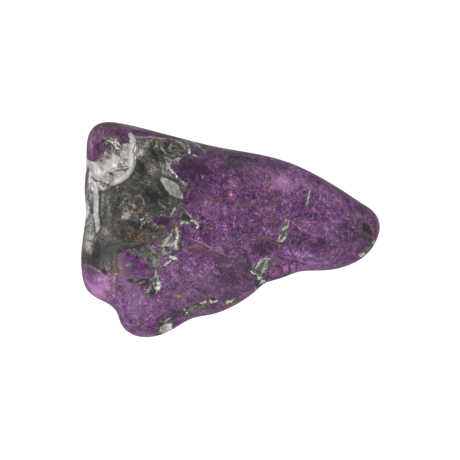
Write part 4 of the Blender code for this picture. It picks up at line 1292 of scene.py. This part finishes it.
def ring_places(steps, length, width):
    """Plan of a square grid drawn into the outline, in millimetres, with each point's direction and depth.

    Squares around the middle of the grid become rings around the hub, and each ring is a smaller copy of the
    outline. The square at r of the way out becomes the ring at sqrt(sin(pi / 2 * r^2)) of it, so the rings
    crowd towards the rim, where the shoulder is steepest.
    """
    outline = fitted_outline(length, width)
    line = np.linspace(-1, 1, steps + 1)
    u, v = (part.ravel() for part in np.meshgrid(line, line, indexing="ij"))
    ring = np.maximum(np.abs(u), np.abs(v))
    wide = np.abs(u) > np.abs(v)
    safe_u = np.where(wide, u, 1.0)
    safe_v = np.where(wide | (v == 0), 1.0, v)
    angle = np.where(wide, math.pi / 4 * v / safe_u, math.pi / 2 - math.pi / 4 * u / safe_v)
    angle = angle + np.where(np.where(wide, u, v) < 0, math.pi, 0.0)
    angle = angle % (2 * math.pi)
    spoke = outline - HUB
    spoke_angle = np.arctan2(spoke[:, 1], spoke[:, 0]) % (2 * math.pi)
    order = np.argsort(spoke_angle)
    reach = np.interp(angle, spoke_angle[order], np.hypot(*spoke.T)[order], period=2 * math.pi)
    share = np.sqrt(np.sin(math.pi / 2 * ring**2))
    x = HUB[0] + share * reach * np.cos(angle)
    y = HUB[1] + share * reach * np.sin(angle)
    depth = np.where(ring > 1 - 1e-9, 0.0, depth_inside(x, y, outline))
    return x, y, angle, depth


def stone_sheets(steps, length, width, thickness):
    """Heights of the upper and the under sheet over one plan, in millimetres, as two arrays of points."""
    x, y, angle, depth = ring_places(steps, length, width)
    rim, above, below = around(angle, EDGE)
    upper = rim + (upper_face(x, y) - rim) * shoulder(depth, above)
    under = cut_flat(rim - (rim - under_face(x, y)) * shoulder(depth, below))
    scale = thickness / upper.max()
    return np.stack((x, y, upper * scale), axis=1), np.stack((x, y, under * scale), axis=1), depth


def sheet_triangles(steps):
    """Corner numbers of the grid's triangles, each square split towards the middle, facing up."""
    i, j = (part.ravel() for part in np.meshgrid(np.arange(steps), np.arange(steps), indexing="ij"))
    a = i * (steps + 1) + j
    b = a + steps + 1
    c = b + 1
    d = a + 1
    rising = ((i < steps / 2) == (j < steps / 2))[:, None]
    one = np.where(rising, np.stack((a, b, c), axis=1), np.stack((a, b, d), axis=1))
    two = np.where(rising, np.stack((a, c, d), axis=1), np.stack((b, c, d), axis=1))
    return np.concatenate((one, two))


def closed_skin(upper, under, steps):
    """Both sheets as one closed skin: the under sheet's rim points are the upper sheet's own."""
    triangles = sheet_triangles(steps)
    index = np.arange((steps + 1) ** 2).reshape(steps + 1, steps + 1)
    inner = np.zeros(index.shape, dtype=bool)
    inner[1:-1, 1:-1] = True
    inner = inner.ravel()
    renamed = index.ravel().copy()
    renamed[inner] = len(upper) + np.arange(inner.sum())
    points = np.concatenate((upper, under[inner]))
    faces = np.concatenate((triangles, renamed[triangles][:, ::-1]))
    return points, faces, inner


def open_curve(points, steps):
    """Smooth curve through the points: cubic spans, with a slope of half the step between the neighbours."""
    points = np.array(points, dtype=float)
    padded = np.vstack((2 * points[0] - points[1], points, 2 * points[-1] - points[-2]))
    slope = (padded[2:] - padded[:-2]) / 2
    t = (np.arange(steps) / steps)[None, :, None]
    curve = (2 * t**3 - 3 * t**2 + 1) * points[:-1, None] + (t**3 - 2 * t**2 + t) * slope[:-1, None]
    curve = curve + (3 * t**2 - 2 * t**3) * points[1:, None] + (t**3 - t**2) * slope[1:, None]
    return np.vstack((curve.reshape(-1, points.shape[1]), points[-1:]))


def nearest_on_curve(places, curve):
    """Each place's distance from a drawn curve, its distance to the side of it, and the half width there."""
    distance = np.full(len(places), np.inf)
    side = np.zeros(len(places))
    width = np.zeros(len(places))
    for a, b in zip(curve[:-1], curve[1:]):
        step = b[:2] - a[:2]
        reach = np.hypot(*step) + 1e-9
        offset = places - a[:2]
        part = np.clip(offset @ step / reach**2, 0, 1)
        gap = np.hypot(*(offset - part[:, None] * step).T)
        closer = gap < distance
        across = (offset[:, 1] * step[0] - offset[:, 0] * step[1]) / reach
        distance = np.where(closer, gap, distance)
        side = np.where(closer, across, side)
        width = np.where(closer, a[2] + (b[2] - a[2]) * part, width)
    return distance, side, width


def inside_curve(places, curve):
    """Whether places lie inside a closed curve: a line to the right crosses it an odd number of times."""
    odd = np.zeros(len(places), dtype=bool)
    x, y = places.T
    for a, b in zip(curve[:-1], curve[1:]):
        if a[1] == b[1]:
            continue
        crosses = (a[1] > y) != (b[1] > y)
        odd ^= crosses & (x < a[0] + (b[0] - a[0]) * (y - a[1]) / (b[1] - a[1]))
    return odd


def near_curve(places, curve):
    """Which places lie within reach of a curve's box."""
    low = curve[:, :2].min(axis=0) - MARK_REACH
    high = curve[:, :2].max(axis=0) + MARK_REACH
    return np.flatnonzero(((places > low) & (places < high)).all(axis=1))


def on_stone(marks):
    """Chart places, with any half width, as millimetres on the stone."""
    marks = np.array(marks, dtype=float)
    marks[:, 0] = (marks[:, 0] - CHART_MIDDLE[0]) / CHART_SCALE
    marks[:, 1] = (CHART_MIDDLE[1] - marks[:, 1]) / CHART_SCALE
    marks[:, 2:] /= CHART_SCALE
    return marks


def area_field(places, patches, strokes):
    """How far each place lies inside the patches and strokes, in millimetres, negative outside them.

    For a stroke that is its half width less the distance to its middle. Marks join by the larger value.
    """
    total = np.full(len(places), -MARK_REACH)
    for patch in patches:
        curve = closed_curve(on_stone(patch), PATCH_STEPS)
        curve = np.vstack((curve, curve[:1]))
        curve = np.hstack((curve, np.zeros((len(curve), 1))))
        near = near_curve(places, curve)
        distance = nearest_on_curve(places[near], curve)[0]
        value = np.where(inside_curve(places[near], curve), distance, -distance)
        total[near] = np.maximum(total[near], np.clip(value, -MARK_REACH, MARK_REACH))
    for stroke in strokes:
        curve = open_curve(on_stone(stroke), STROKE_STEPS)
        near = near_curve(places, curve)
        distance, side, width = nearest_on_curve(places[near], curve)
        total[near] = np.maximum(total[near], width - distance)
    return total


def line_field(places, lines):
    """Signed and plain distance to the nearest of some lines, and its half width there, in millimetres."""
    nearest = np.tile((MARK_REACH, MARK_REACH, 0.0), (len(places), 1))
    for line in lines:
        curve = open_curve(on_stone(line), STROKE_STEPS)
        near = near_curve(places, curve)
        distance, side, width = nearest_on_curve(places[near], curve)
        closer = distance < nearest[near, 1]
        nearest[near[closer]] = np.stack((side, distance, width), axis=1)[closer]
    return nearest


def brushed_field(places, strokes):
    """Sum of the brushed strokes: each adds its amount within its half width and fades over a soft edge."""
    total = np.zeros(len(places))
    for amount, stroke in strokes:
        curve = open_curve(on_stone(stroke), STROKE_STEPS)
        near = near_curve(places, curve)
        distance, side, width = nearest_on_curve(places[near], curve)
        total[near] += amount * smooth(width - distance, -BRUSH_EDGE, BRUSH_EDGE)
    return total


def spot_field(places, spots):
    """Sum of soft spots, each exp(-r^2) in its own stretched and turned directions."""
    spots = np.array(spots, dtype=float)
    spots[:, :2] = on_stone(spots[:, :2])
    spots[:, 2:4] /= CHART_SCALE
    spots[:, 4] *= -1
    return relief(*places.T, spots)


def mark_fields(places, marks):
    """Every field of one side's marks at these places, by name."""
    fields = {name: area_field(places, *marks[name]) for name in AREAS}
    fields["rock"] = np.minimum(fields["rock"], -fields.pop("island"))
    fields.update((name, spot_field(places, marks[name])) for name in SPOTS)
    fields.update((name, line_field(places, marks[name])) for name in LINES)
    fields["brushed"] = brushed_field(places, marks["brushed"])
    return fields


def turned_under(face, under, turn):
    """The face's field where turn is 0, the underside's where it is 1, and a blend of the two between.

    A line's columns don't blend, so it thins out towards turn 0.5, and the other side's grows from there.
    """
    if face.ndim == 1:
        return face * (1 - turn) + under * turn
    chosen = np.where((turn < 0.5)[:, None], face, under)
    chosen[:, 2] *= np.abs(1 - 2 * turn)
    return chosen


def lattice_noise(places, spacing, seed):
    """Smooth noise from -1 to 1: random values at a cube lattice's corners, eased from one to the next."""
    values = np.random.default_rng(seed).uniform(-1, 1, (32, 32, 32))
    cell = np.floor(places / spacing).astype(int)
    part = places / spacing - cell
    ease = part * part * (3 - 2 * part)
    total = np.zeros(len(places))
    for corner in itertools.product((0, 1), repeat=3):
        weight = np.where(corner, ease, 1 - ease).prod(axis=1)
        total += weight * values[tuple(((cell + corner) % 32).T)]
    return total


def smooth(value, low, high):
    """0 below low, 1 above high and an even ease between: 3t^2 - 2t^3."""
    t = np.clip((value - low) / (high - low), 0, 1)
    return t * t * (3 - 2 * t)


def line_depth(line, width):
    """How deep in a line's groove a place lies: 0 at its lips, 1 along its middle, less where it is thin."""
    return smooth(line[:, 2], 0.02, 0.12) * (1 - smooth(line[:, 1], 0, width))


def waves(points, table):
    """Sum of the noises in a table, each times its height."""
    return sum(height * lattice_noise(points, size, seed) for height, size, seed in table)


def fine_relief(points, fields):
    """Height of the worn surface over the facets, in millimetres.

    The rock is worn lower and less evenly than the purple, pits are sunk, and cracks and veins are grooves.
    """
    rock = smooth(fields["rock"], -0.1, 0.35)
    height = waves(points, WORN_WAVES)
    height -= ROCK_WORN * rock
    height += rock * waves(points, ROCK_WAVES)
    height += PALE_RAISED * smooth(fields["pale"], -0.1, 0.3) * rock
    height -= PIT_DEPTH * np.clip(fields["pit"], 0, 1)
    for name, depth, width in GROOVES:
        height -= depth * line_depth(fields[name], width)
    return height


def normals_of(points, faces):
    """Unit normal at each point: the sum of its faces' own, each as long as its face is large."""
    corners = points[faces]
    across = np.cross(corners[:, 1] - corners[:, 0], corners[:, 2] - corners[:, 0])
    normals = np.zeros_like(points)
    for column in faces.T:
        for axis in range(3):
            normals[:, axis] += np.bincount(column, across[:, axis], len(points))
    return normals / np.linalg.norm(normals, axis=1)[:, None]


def new_mesh_piece(name, points, faces, material):
    """A smooth-shaded mesh object from arrays of points, in metres, and faces."""
    mesh = bpy.data.meshes.new(name)
    mesh.from_pydata(points, [], faces)
    mesh.shade_smooth()
    mesh.materials.append(material)
    piece = bpy.data.objects.new(name, mesh)
    bpy.context.scene.collection.objects.link(piece)
    return piece


class Wire:
    """A socket in an expression. Each operator adds the Math node that works it out."""

    def __init__(self, graph, socket):
        self.graph = graph
        self.socket = socket

    def __add__(self, other):
        return self.graph.maths("ADD", self, other)

    def __radd__(self, other):
        return self.graph.maths("ADD", other, self)

    def __sub__(self, other):
        return self.graph.maths("SUBTRACT", self, other)

    def __rsub__(self, other):
        return self.graph.maths("SUBTRACT", other, self)

    def __mul__(self, other):
        return self.graph.maths("MULTIPLY", self, other)

    def __rmul__(self, other):
        return self.graph.maths("MULTIPLY", other, self)

    def __abs__(self):
        return self.graph.maths("ABSOLUTE", self)


class Graph:
    """Adds nodes to a node tree and links them as they are named."""

    def __init__(self, tree):
        self.tree = tree

    def node(self, kind, settings=(), inputs=(), output=0):
        """A node of a kind with its settings, then its sockets' values or links. Gives one of its outputs."""
        node = self.tree.nodes.new(kind)
        for name, value in dict(settings).items():
            if name == "stops":
                self.set_stops(node.color_ramp.elements, value)
            else:
                setattr(node, name, value)
        for name, value in dict(inputs).items():
            self.feed(node.inputs[name], value)
        return Wire(self, node.outputs[output])

    def feed(self, socket, value):
        """Links a wire to a socket, or sets the socket to a value."""
        if isinstance(value, Wire):
            self.tree.links.new(value.socket, socket)
        else:
            socket.default_value = value

    def set_stops(self, elements, stops):
        """Sets a ramp's stops, of which a new ramp has two."""
        for place, colour in stops[2:]:
            elements.new(place)
        for element, (place, colour) in zip(elements, stops):
            element.position = place
            element.color = (*colour, 1)

    def maths(self, operation, *values):
        """One Math node."""
        return self.node("ShaderNodeMath", {"operation": operation}, enumerate(values))

    def ease(self, value, low, high):
        """0 below low, 1 above high, eased between."""
        ends = {"Value": value, "From Min": low, "From Max": high}
        return self.node("ShaderNodeMapRange", {"interpolation_type": "SMOOTHSTEP"}, ends)

    def noise(self, place, size, detail=3.0, rough=0.55, drift=0.0, output="Fac"):
        """Noise from 0 to 1 with lumps of a size in millimetres."""
        inputs = {"Vector": place, "Scale": 1 / (size * MM), "Detail": detail}
        inputs.update({"Roughness": rough, "Distortion": drift})
        return self.node("ShaderNodeTexNoise", {}, inputs, output)

    def cells(self, place, size, feature="F1", output="Distance"):
        """Cells of a size in millimetres: distance to their middles or edges, or their own colours."""
        inputs = {"Vector": place, "Scale": 1 / (size * MM)}
        return self.node("ShaderNodeTexVoronoi", {"feature": feature}, inputs, output)

    def moved(self, place, size, reach):
        """Places shifted by up to a reach in millimetres, by noise with lumps of a size."""
        push = self.noise(place, size, 2.0, output="Color")
        steps = {0: push, 1: (reach * MM,) * 3, 2: place}
        return self.node("ShaderNodeVectorMath", {"operation": "MULTIPLY_ADD"}, steps)

    def stretched(self, place, length, turn):
        """Places for a pattern drawn out some times along a line, turned from X by some degrees."""
        steps = {"Vector": place, "Scale": (length, 1, 1), "Rotation": (0, 0, math.radians(turn))}
        return self.node("ShaderNodeMapping", {"vector_type": "TEXTURE"}, steps)

    def plates(self, place, size):
        """Three numbers from 0 to 1, each the same all over a plate of a size in millimetres."""
        colour = {0: self.cells(place, size, output="Color")}
        return [self.node("ShaderNodeSeparateColor", {}, colour, part) for part in ("Red", "Green", "Blue")]

    def streaks(self, place, size, length, plates):
        """Noise drawn out into streaks, whose direction differs from one plate to the next."""
        drawn = []
        for turn in STREAK_TURNS:
            drawn.append(self.noise(self.stretched(place, length, turn), size, 3.0, 0.62, 0.2))
        across = self.ease(plates[0], 0.40, 0.60)
        along = self.ease(plates[1], 0.40, 0.60)
        one = drawn[0] + (drawn[1] - drawn[0]) * across
        two = drawn[2] + (drawn[3] - drawn[2]) * across
        return one + (two - one) * along

    def mix(self, share, one, two, blend="MIX"):
        """Colours mixed by a share from 0 to 1."""
        settings = {"data_type": "RGBA", "blend_type": blend}
        return self.node("ShaderNodeMix", settings, {0: share, 6: one, 7: two}, 2)

    def ramp(self, value, stops):
        """The colour between a ramp's stops at a value."""
        return self.node("ShaderNodeValToRGB", {"stops": stops}, {0: value})

    def field(self, name):
        """A number kept at the stone's points."""
        return self.node("ShaderNodeAttribute", {"attribute_name": name}, {}, "Fac")

    def line(self, name):
        """A line's signed distance, plain distance and half width, kept at the stone's points."""
        kept = self.node("ShaderNodeAttribute", {"attribute_name": name}, {}, "Vector")
        split = {"Vector": kept}
        return [self.node("ShaderNodeSeparateXYZ", {}, split, axis) for axis in "XYZ"]


def line_mask(graph, line, waver, offset=0.0):
    """1 on a line and 0 off it, with soft edges, in millimetres. It fades past the ends of the line."""
    side, gap, width = line
    beside = abs(side + waver - offset)
    on = 1 - graph.ease(beside - width, *LINE_SOFT)
    return on * (1 - graph.ease(gap, *LINE_END)) * graph.ease(width, *LINE_THIN)


def purple_colour(graph, place, settings):
    """The purple's colour and value: dark violet to lilac by mottling, short fibres and the stone's tones,
    which include painted light along the rim and a painted sheen, and brushed strokes, some of them painted
    highlights.
    """
    swirl = graph.moved(graph.moved(place, 2.4, 1.4), 0.9, 0.5)
    broad = graph.noise(place, 3.0, 2.0) - 0.5
    middle = graph.noise(swirl, 0.85, 4.0, 0.62, 0.5) - 0.5
    grain = graph.noise(swirl, 0.24, 1.0, 0.6) - 0.5
    plates = graph.plates(graph.moved(swirl, 0.5, 0.25), 1.5)
    fibres = graph.streaks(graph.moved(place, 1.4, 0.7), 0.24, 3.0, plates) - 0.5
    light_fibre = graph.ease(fibres, 0.06, 0.12) - 0.2
    dark_fibre = graph.ease(0 - fibres, 0.05, 0.12) - 0.2
    tone = graph.field("tone")
    quiet = (1 - 0.5 * graph.ease(abs(tone), 0.3, 1.0)) * (0.55 + 0.9 * graph.noise(place, 2.4, 2.0))
    mottle = 0.46 * broad + 0.80 * middle + 0.54 * grain + 0.10 * (plates[2] - 0.5)
    mottle = mottle + 0.55 * fibres + 0.13 * light_fibre - 0.13 * dark_fibre
    # The stone's tones here include painted rim light and a painted sheen, and the brushed strokes some
    # painted highlights
    value = 0.445 + quiet * mottle + 0.30 * tone + graph.field("brushed")
    deep = tuple(settings.deep_purple)
    purple = tuple(settings.purple)
    lilac = tuple(settings.lilac)
    shades = (
        (0.0, tuple(0.3 * part for part in deep)),
        (0.25, deep),
        (0.5, purple),
        (0.75, lilac),
        (1.0, tuple(min(1, 2.2 * part) for part in lilac)),
    )
    colour = graph.ramp(value, shades)
    hue = 0.5 * graph.noise(place, 1.6, 3.0) + 0.45 * graph.noise(swirl, 0.4, 2.0) + 0.05 * plates[0]
    pinker = graph.ease(hue, 0.51, 0.64)
    bluer = 1 - graph.ease(hue, 0.36, 0.48)
    colour = graph.mix(pinker * 0.6, colour, PINK_TINT, "MULTIPLY")
    colour = graph.mix(bluer * 0.6, colour, BLUE_TINT, "MULTIPLY")
    warm = graph.maths("MINIMUM", graph.field("warm"), 1.0)
    colour = graph.mix(warm, colour, WARM_TINT, "MULTIPLY")
    dull = graph.ease(graph.noise(swirl, 0.6, 4.0, 0.65), 0.54, 0.66)
    colour = graph.mix(dull * 0.28 * quiet, colour, DULL_GREY)
    strength = 1.0 + 0.35 * graph.field("vivid")
    return graph.node("ShaderNodeHueSaturation", {}, {"Saturation": strength, "Color": colour}), value


def rock_colour(graph, place, depth, settings):
    """The rock's colour and value: near black to white by mottling, grains, bands and the stone's tones."""
    shifted = graph.moved(place, 0.9, 0.5)
    broad = graph.noise(place, 2.0, 3.0, 0.6) - 0.5
    middle = graph.noise(shifted, 0.62, 5.0, 0.66, 0.4) - 0.5
    grain = graph.noise(shifted, 0.2, 2.0, 0.6) - 0.5
    slanted = graph.streaks(shifted, 0.36, 3.0, graph.plates(shifted, 2.0)) - 0.5
    banded = graph.noise(graph.stretched(place, 6, 86), 0.6, 3.0, 0.6) - 0.5
    grains = graph.node("ShaderNodeSeparateColor", {}, {0: graph.cells(shifted, 0.48, output="Color")})
    borders = 1 - graph.ease(graph.cells(shifted, 0.48, "DISTANCE_TO_EDGE"), 0.0, 0.12)
    specks = graph.ease(graph.noise(shifted, 0.34, 3.0, 0.65, 0.6), 0.42, 0.58) - 0.5
    threads = 1 - graph.ease(abs(graph.noise(shifted, 0.8, 3.0, 0.6, 0.8) - 0.47), 0.0, 0.03)
    flecks = graph.ease(graph.noise(place, 0.26, 2.0, 0.6, 0.3), 0.64, 0.70)
    near_edge = 1 - graph.ease(depth, 0.20, 1.0)
    grainy = graph.maths("MINIMUM", graph.field("grainy") + 0.30 * near_edge, 1.0)
    pale = graph.ease(graph.field("pale") + (0.25 + 0.5 * grainy) * middle + 0.3 * grain, -0.15, 0.13)
    fine = 1 - 0.6 * pale * (1 - grainy)
    value = 0.26 + 0.24 * broad + fine * (0.40 * middle + 0.46 * grain + 0.05 * specks + 0.44 * slanted)
    value = value + 0.16 * banded + grainy * (0.40 * (grains - 0.42) + 0.22 * specks - 0.26 * borders)
    value = value + 0.42 * graph.field("rock_tone") + 0.05 * near_edge + graph.field("brushed")
    value = value + 0.14 * threads * graph.ease(broad + middle, -0.05, 0.12) + 0.26 * flecks
    value = value + pale * (0.37 + (0.16 + 0.24 * grainy) * middle + 0.3 * grainy * grain)
    dark = tuple(settings.rock)
    white = tuple(settings.quartz)
    shades = (
        (0.0, tuple(0.16 * part for part in dark)),
        (0.2, tuple(0.62 * part for part in dark)),
        (0.36, tuple(1.5 * part for part in dark)),
        (0.54, tuple(0.40 * part for part in white)),
        (0.76, tuple(0.85 * part for part in white)),
        (1.0, tuple(min(1, 1.6 * part) for part in white)),
    )
    colour = graph.ramp(value, shades)
    warmer = 0.8 * graph.field("warm") + 1.6 * (graph.noise(place, 1.3, 3.0) - 0.5) + 1.2 * slanted
    warmer = graph.ease(warmer, 0.0, 0.9)
    return graph.mix(warmer, colour, BROWN_TINT, "MULTIPLY"), value


def stone_material(settings):
    """Purple with rock grown into it, rust along their joins, veins, cracks and pits, all of it polished."""
    material = bpy.data.materials.new("purpurite")
    material.use_nodes = True
    graph = Graph(material.node_tree)
    shader = material.node_tree.nodes["Principled BSDF"]
    place = graph.node("ShaderNodeTexCoord", {}, {}, "Object")
    ragged = graph.noise(place, 0.75, 4.0, 0.62) - 0.5
    fine = graph.noise(place, 0.3, 3.0, 0.6) - 0.5
    waver = 0.45 * ragged + 0.35 * fine
    rock_edge = graph.field("rock") + ragged + 0.45 * fine
    rock = graph.ease(rock_edge, -0.05, 0.05)
    purple, purple_value = purple_colour(graph, place, settings)
    stone, rock_value = rock_colour(graph, place, rock_edge, settings)
    colour = graph.mix(rock, purple, stone)

    patchy = graph.ease(graph.noise(place, 1.5, 3.0), 0.50, 0.66)
    join = 1 - graph.ease(abs(rock_edge), 0.02, 0.16)
    stain = graph.field("rust") + 0.6 * ragged + 0.8 * fine
    rust = graph.ease(stain, -0.08, 0.14)
    rust = graph.maths("MAXIMUM", rust * 0.60, join * patchy * 0.45)
    fresh = graph.ramp(stain, ((0.10, tuple(settings.rust)), (0.28, ORANGE_RUST), (0.40, PINK_RUST)))
    solid = graph.ease(graph.field("rust"), 0.26, 0.42)
    light_rust = graph.maths("MAXIMUM", graph.ease(fine + 0.5 * ragged, -0.14, 0.20), solid)
    rusty = graph.mix(light_rust, DARK_RUST, fresh)
    colour = graph.mix(graph.maths("MAXIMUM", rust, 0.85 * solid), colour, rusty)

    broken = graph.ease(graph.noise(place, 0.6, 3.0), 0.38, 0.50)
    brown = line_mask(graph, graph.line("brown_vein"), 0.7 * waver + 0.2 * fine)
    colour = graph.mix(brown * (0.34 + 0.52 * broken), colour, BROWN_VEIN)
    # Tan lines: veins, and a painted highlight along the upper bevel, drawn light with a dark lip
    tan = graph.line("tan_vein")
    lip = line_mask(graph, tan, waver, LIP_OFFSET)
    colour = graph.mix(lip * 0.5, colour, TAN_VEIN_LIP)
    light = line_mask(graph, tan, waver)
    colour = graph.mix(light * (0.06 + 0.50 * broken), colour, TAN_VEIN_AND_HIGHLIGHT)
    crack = line_mask(graph, graph.line("crack"), waver)
    colour = graph.mix(crack * 0.8, colour, CRACK_DARK)
    pit = graph.ease(graph.field("pit") + 0.9 * ragged + 0.6 * fine, 0.25, 0.60)
    colour = graph.mix(pit * 0.85, colour, PIT_DARK)
    graph.feed(shader.inputs["Base Color"], colour)

    rough = POLISH_ROUGHNESS + 0.22 * ragged + 0.16 * rock * (0.5 - rock_value) + 0.3 * pit
    graph.feed(shader.inputs["Roughness"], rough)
    height = purple_value * (1 - rock) * 0.5 + rock * rock_value * 0.9 - 0.6 * crack - 0.8 * pit
    bump = {"Strength": 1.0, "Distance": BUMP_HEIGHT * MM, "Height": height}
    graph.feed(shader.inputs["Normal"], graph.node("ShaderNodeBump", {}, bump))
    shader.inputs["Specular IOR Level"].default_value = POLISH_SHINE
    return material


class StoneSettings(bpy.types.PropertyGroup):
    """Sizes and finish of the stone."""

    length: bpy.props.FloatProperty(
        name="Length",
        description="Length of the stone along X",
        default=CAD_SIZE.x,
        unit="LENGTH",
    )
    width: bpy.props.FloatProperty(
        name="Width",
        description="Width of the stone along Y",
        default=CAD_SIZE.y,
        unit="LENGTH",
    )
    thickness: bpy.props.FloatProperty(
        name="Thickness",
        description="Height of the stone as it lies",
        default=CAD_SIZE.z,
        unit="LENGTH",
    )
    steps: bpy.props.IntProperty(
        name="Grid steps",
        description="Steps across each of the two sheets of the skin",
        default=220,
    )
    deep_purple: bpy.props.FloatVectorProperty(
        name="Deep purple",
        description="Colour of the darker mottles",
        subtype="COLOR",
        default=(0.030, 0.012, 0.032),
    )
    purple: bpy.props.FloatVectorProperty(
        name="Purple",
        description="Colour of most of the stone",
        subtype="COLOR",
        default=(0.091, 0.0352, 0.0985),
    )
    lilac: bpy.props.FloatVectorProperty(
        name="Lilac",
        description="Colour of the paler mottles",
        subtype="COLOR",
        default=(0.214, 0.096, 0.217),
    )
    rock: bpy.props.FloatVectorProperty(
        name="Rock",
        description="Colour of the grey rock",
        subtype="COLOR",
        default=(0.042, 0.040, 0.037),
    )
    quartz: bpy.props.FloatVectorProperty(
        name="Quartz",
        description="Colour of the pale quartz in the rock",
        subtype="COLOR",
        default=(0.460, 0.450, 0.430),
    )
    rust: bpy.props.FloatVectorProperty(
        name="Rust",
        description="Colour of the stains where rock meets purple",
        subtype="COLOR",
        default=(0.210, 0.088, 0.048),
    )


class StageSettings(bpy.types.PropertyGroup):
    """Sizes and lights of the studio."""

    lens: bpy.props.FloatProperty(
        name="Lens",
        description="Focal length of the camera in millimetres",
        default=600.0,
    )
    tent: bpy.props.FloatProperty(
        name="Light tent",
        description="Strength of the soft light from all round",
        default=1.5,
    )
    key: bpy.props.FloatProperty(
        name="Key light",
        description="Power of the softbox at the stone's broad end in watts",
        default=3.5,
    )
    fill: bpy.props.FloatProperty(
        name="Fill light",
        description="Power of the softbox at the stone's narrow end in watts",
        default=0.8,
    )
    floor_glow: bpy.props.FloatProperty(
        name="Floor glow",
        description="Light of the floor's own, which keeps it white under the stone",
        default=0.78,
    )


class PURPURITE_OT_stone(bpy.types.Operator):
    """Build the stone's skin and its material"""

    bl_idname = "purpurite.stone"
    bl_label = "Stone"

    def execute(self, context):
        settings = context.scene.purpurite_stone
        sizes = np.array((settings.length, settings.width, settings.thickness)) / MM
        upper, under, depth = stone_sheets(settings.steps, *sizes)
        points, faces, inner = closed_skin(upper, under, settings.steps)
        plan = upper[:, :2]
        face = mark_fields(plan, FACE_MARKS)
        back = mark_fields(plan, UNDER_MARKS)
        rim = around(np.arctan2(*(plan - HUB).T[::-1]), EDGE)[0]
        uneven = 1 + TURN_UNEVEN * lattice_noise(under[inner], TURN_LUMPS, TURN_SEED)
        turn = smooth((rim - under[:, 2])[inner] * uneven / TURN_HEIGHT, 0, 1)
        fields = {}
        for name, values in face.items():
            below = turned_under(values[inner], back[name][inner], turn)
            fields[name] = np.concatenate((values, below))
        inward = smooth(np.concatenate((depth, depth[inner])), 0, RIM_FADE)
        raised = fine_relief(points, fields) * (inward * smooth(points[:, 2], 0, FLAT_FADE))
        points = points + normals_of(points, faces) * raised[:, None]
        stone = new_mesh_piece("tumbled_stone", points * MM, faces, stone_material(settings))
        for name, values in fields.items():
            kind, part = ("FLOAT", "value") if values.ndim == 1 else ("FLOAT_VECTOR", "vector")
            layer = stone.data.attributes.new(name, kind, "POINT")
            layer.data.foreach_set(part, values.ravel())
        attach(stone, "root")
        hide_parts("stone")
        return {"FINISHED"}


def softbox(name, place, power):
    """A softbox that faces the stone and isn't itself seen."""
    light = bpy.data.lights.new(name, "AREA")
    light.shape = "RECTANGLE"
    light.size, light.size_y = SOFTBOX_SIZE
    light.energy = power
    lamp = bpy.data.objects.new(name, light)
    lamp.location = place
    lamp.rotation_euler = (-Vector(place)).to_track_quat("-Z", "Y").to_euler()
    lamp.visible_camera = False
    bpy.context.scene.collection.objects.link(lamp)


class PURPURITE_OT_stage(bpy.types.Operator):
    """Build the floor, the lights and the camera"""

    bl_idname = "purpurite.stage"
    bl_label = "Studio"

    def execute(self, context):
        settings = context.scene.purpurite_stage
        material = bpy.data.materials.new("floor")
        material.use_nodes = True
        shader = material.node_tree.nodes["Principled BSDF"]
        shader.inputs["Base Color"].default_value = FLOOR_GREY
        shader.inputs["Roughness"].default_value = 0.9
        shader.inputs["Specular IOR Level"].default_value = 0.0
        shader.inputs["Emission Color"].default_value = (1, 1, 1, 1)
        shader.inputs["Emission Strength"].default_value = settings.floor_glow
        half = FLOOR_SIZE / 2
        corners = np.array(((-half, -half, 0), (half, -half, 0), (half, half, 0), (-half, half, 0)))
        floor = new_mesh_piece("floor", corners, [(0, 1, 2, 3)], material)
        floor.visible_glossy = False
        floor.visible_diffuse = False
        softbox("key", KEY_PLACE, settings.key)
        softbox("fill", FILL_PLACE, settings.fill)
        world = bpy.data.worlds.new("studio")
        world.use_nodes = True
        graph = Graph(world.node_tree)
        background = world.node_tree.nodes["Background"]
        direction = graph.node("ShaderNodeTexCoord", {}, {}, "Generated")
        height = graph.node("ShaderNodeSeparateXYZ", {}, {0: direction}, "Z")
        graph.feed(background.inputs["Color"], graph.ramp(0.5 + 0.5 * height, TENT_STOPS))
        background.inputs["Strength"].default_value = settings.tent
        context.scene.world = world
        context.scene.view_settings.view_transform = "Standard"
        camera = bpy.data.cameras.new("camera")
        camera.lens = settings.lens
        camera.sensor_width = CAMERA_SENSOR_MM
        camera.clip_end = CAMERA_REACH
        eye = bpy.data.objects.new("camera", camera)
        field = CHART_WIDTH / CHART_SCALE * MM
        aim_x = (CHART_WIDTH / 2 - CHART_MIDDLE[0]) / CHART_SCALE * MM
        aim_y = (CHART_MIDDLE[1] - CHART_WIDTH / 2) / CHART_SCALE * MM
        eye.location = (aim_x, aim_y, RIM_HEIGHT_MM * MM + field * settings.lens / CAMERA_SENSOR_MM)
        context.scene.collection.objects.link(eye)
        context.scene.camera = eye
        return {"FINISHED"}


class PURPURITE_PT_panel(bpy.types.Panel):
    """Lists the stone's settings and the operators that build it"""

    bl_idname = "PURPURITE_PT_panel"
    bl_label = "Tumbled Purpurite Stone"
    bl_space_type = "VIEW_3D"
    bl_region_type = "UI"
    bl_category = "Stone"

    def draw(self, context):
        for settings in (context.scene.purpurite_stone, context.scene.purpurite_stage):
            for name in settings.__annotations__:
                self.layout.prop(settings, name)
        for operator in (PURPURITE_OT_stone, PURPURITE_OT_stage):
            self.layout.operator(operator.bl_idname)


CLASSES = (StoneSettings, StageSettings, PURPURITE_OT_stone, PURPURITE_OT_stage, PURPURITE_PT_panel)


def register():
    """Adds the classes and their settings to Blender."""
    for each in CLASSES:
        bpy.utils.register_class(each)
    bpy.types.Scene.purpurite_stone = bpy.props.PointerProperty(type=StoneSettings)
    bpy.types.Scene.purpurite_stage = bpy.props.PointerProperty(type=StageSettings)


def unregister():
    """Takes them off again."""
    del bpy.types.Scene.purpurite_stage
    del bpy.types.Scene.purpurite_stone
    for each in reversed(CLASSES):
        bpy.utils.unregister_class(each)


def main():
    """Builds the stone and its studio."""
    register()
    bpy.ops.purpurite.stone()
    bpy.ops.purpurite.stage()


if __name__ == "__main__":
    main()
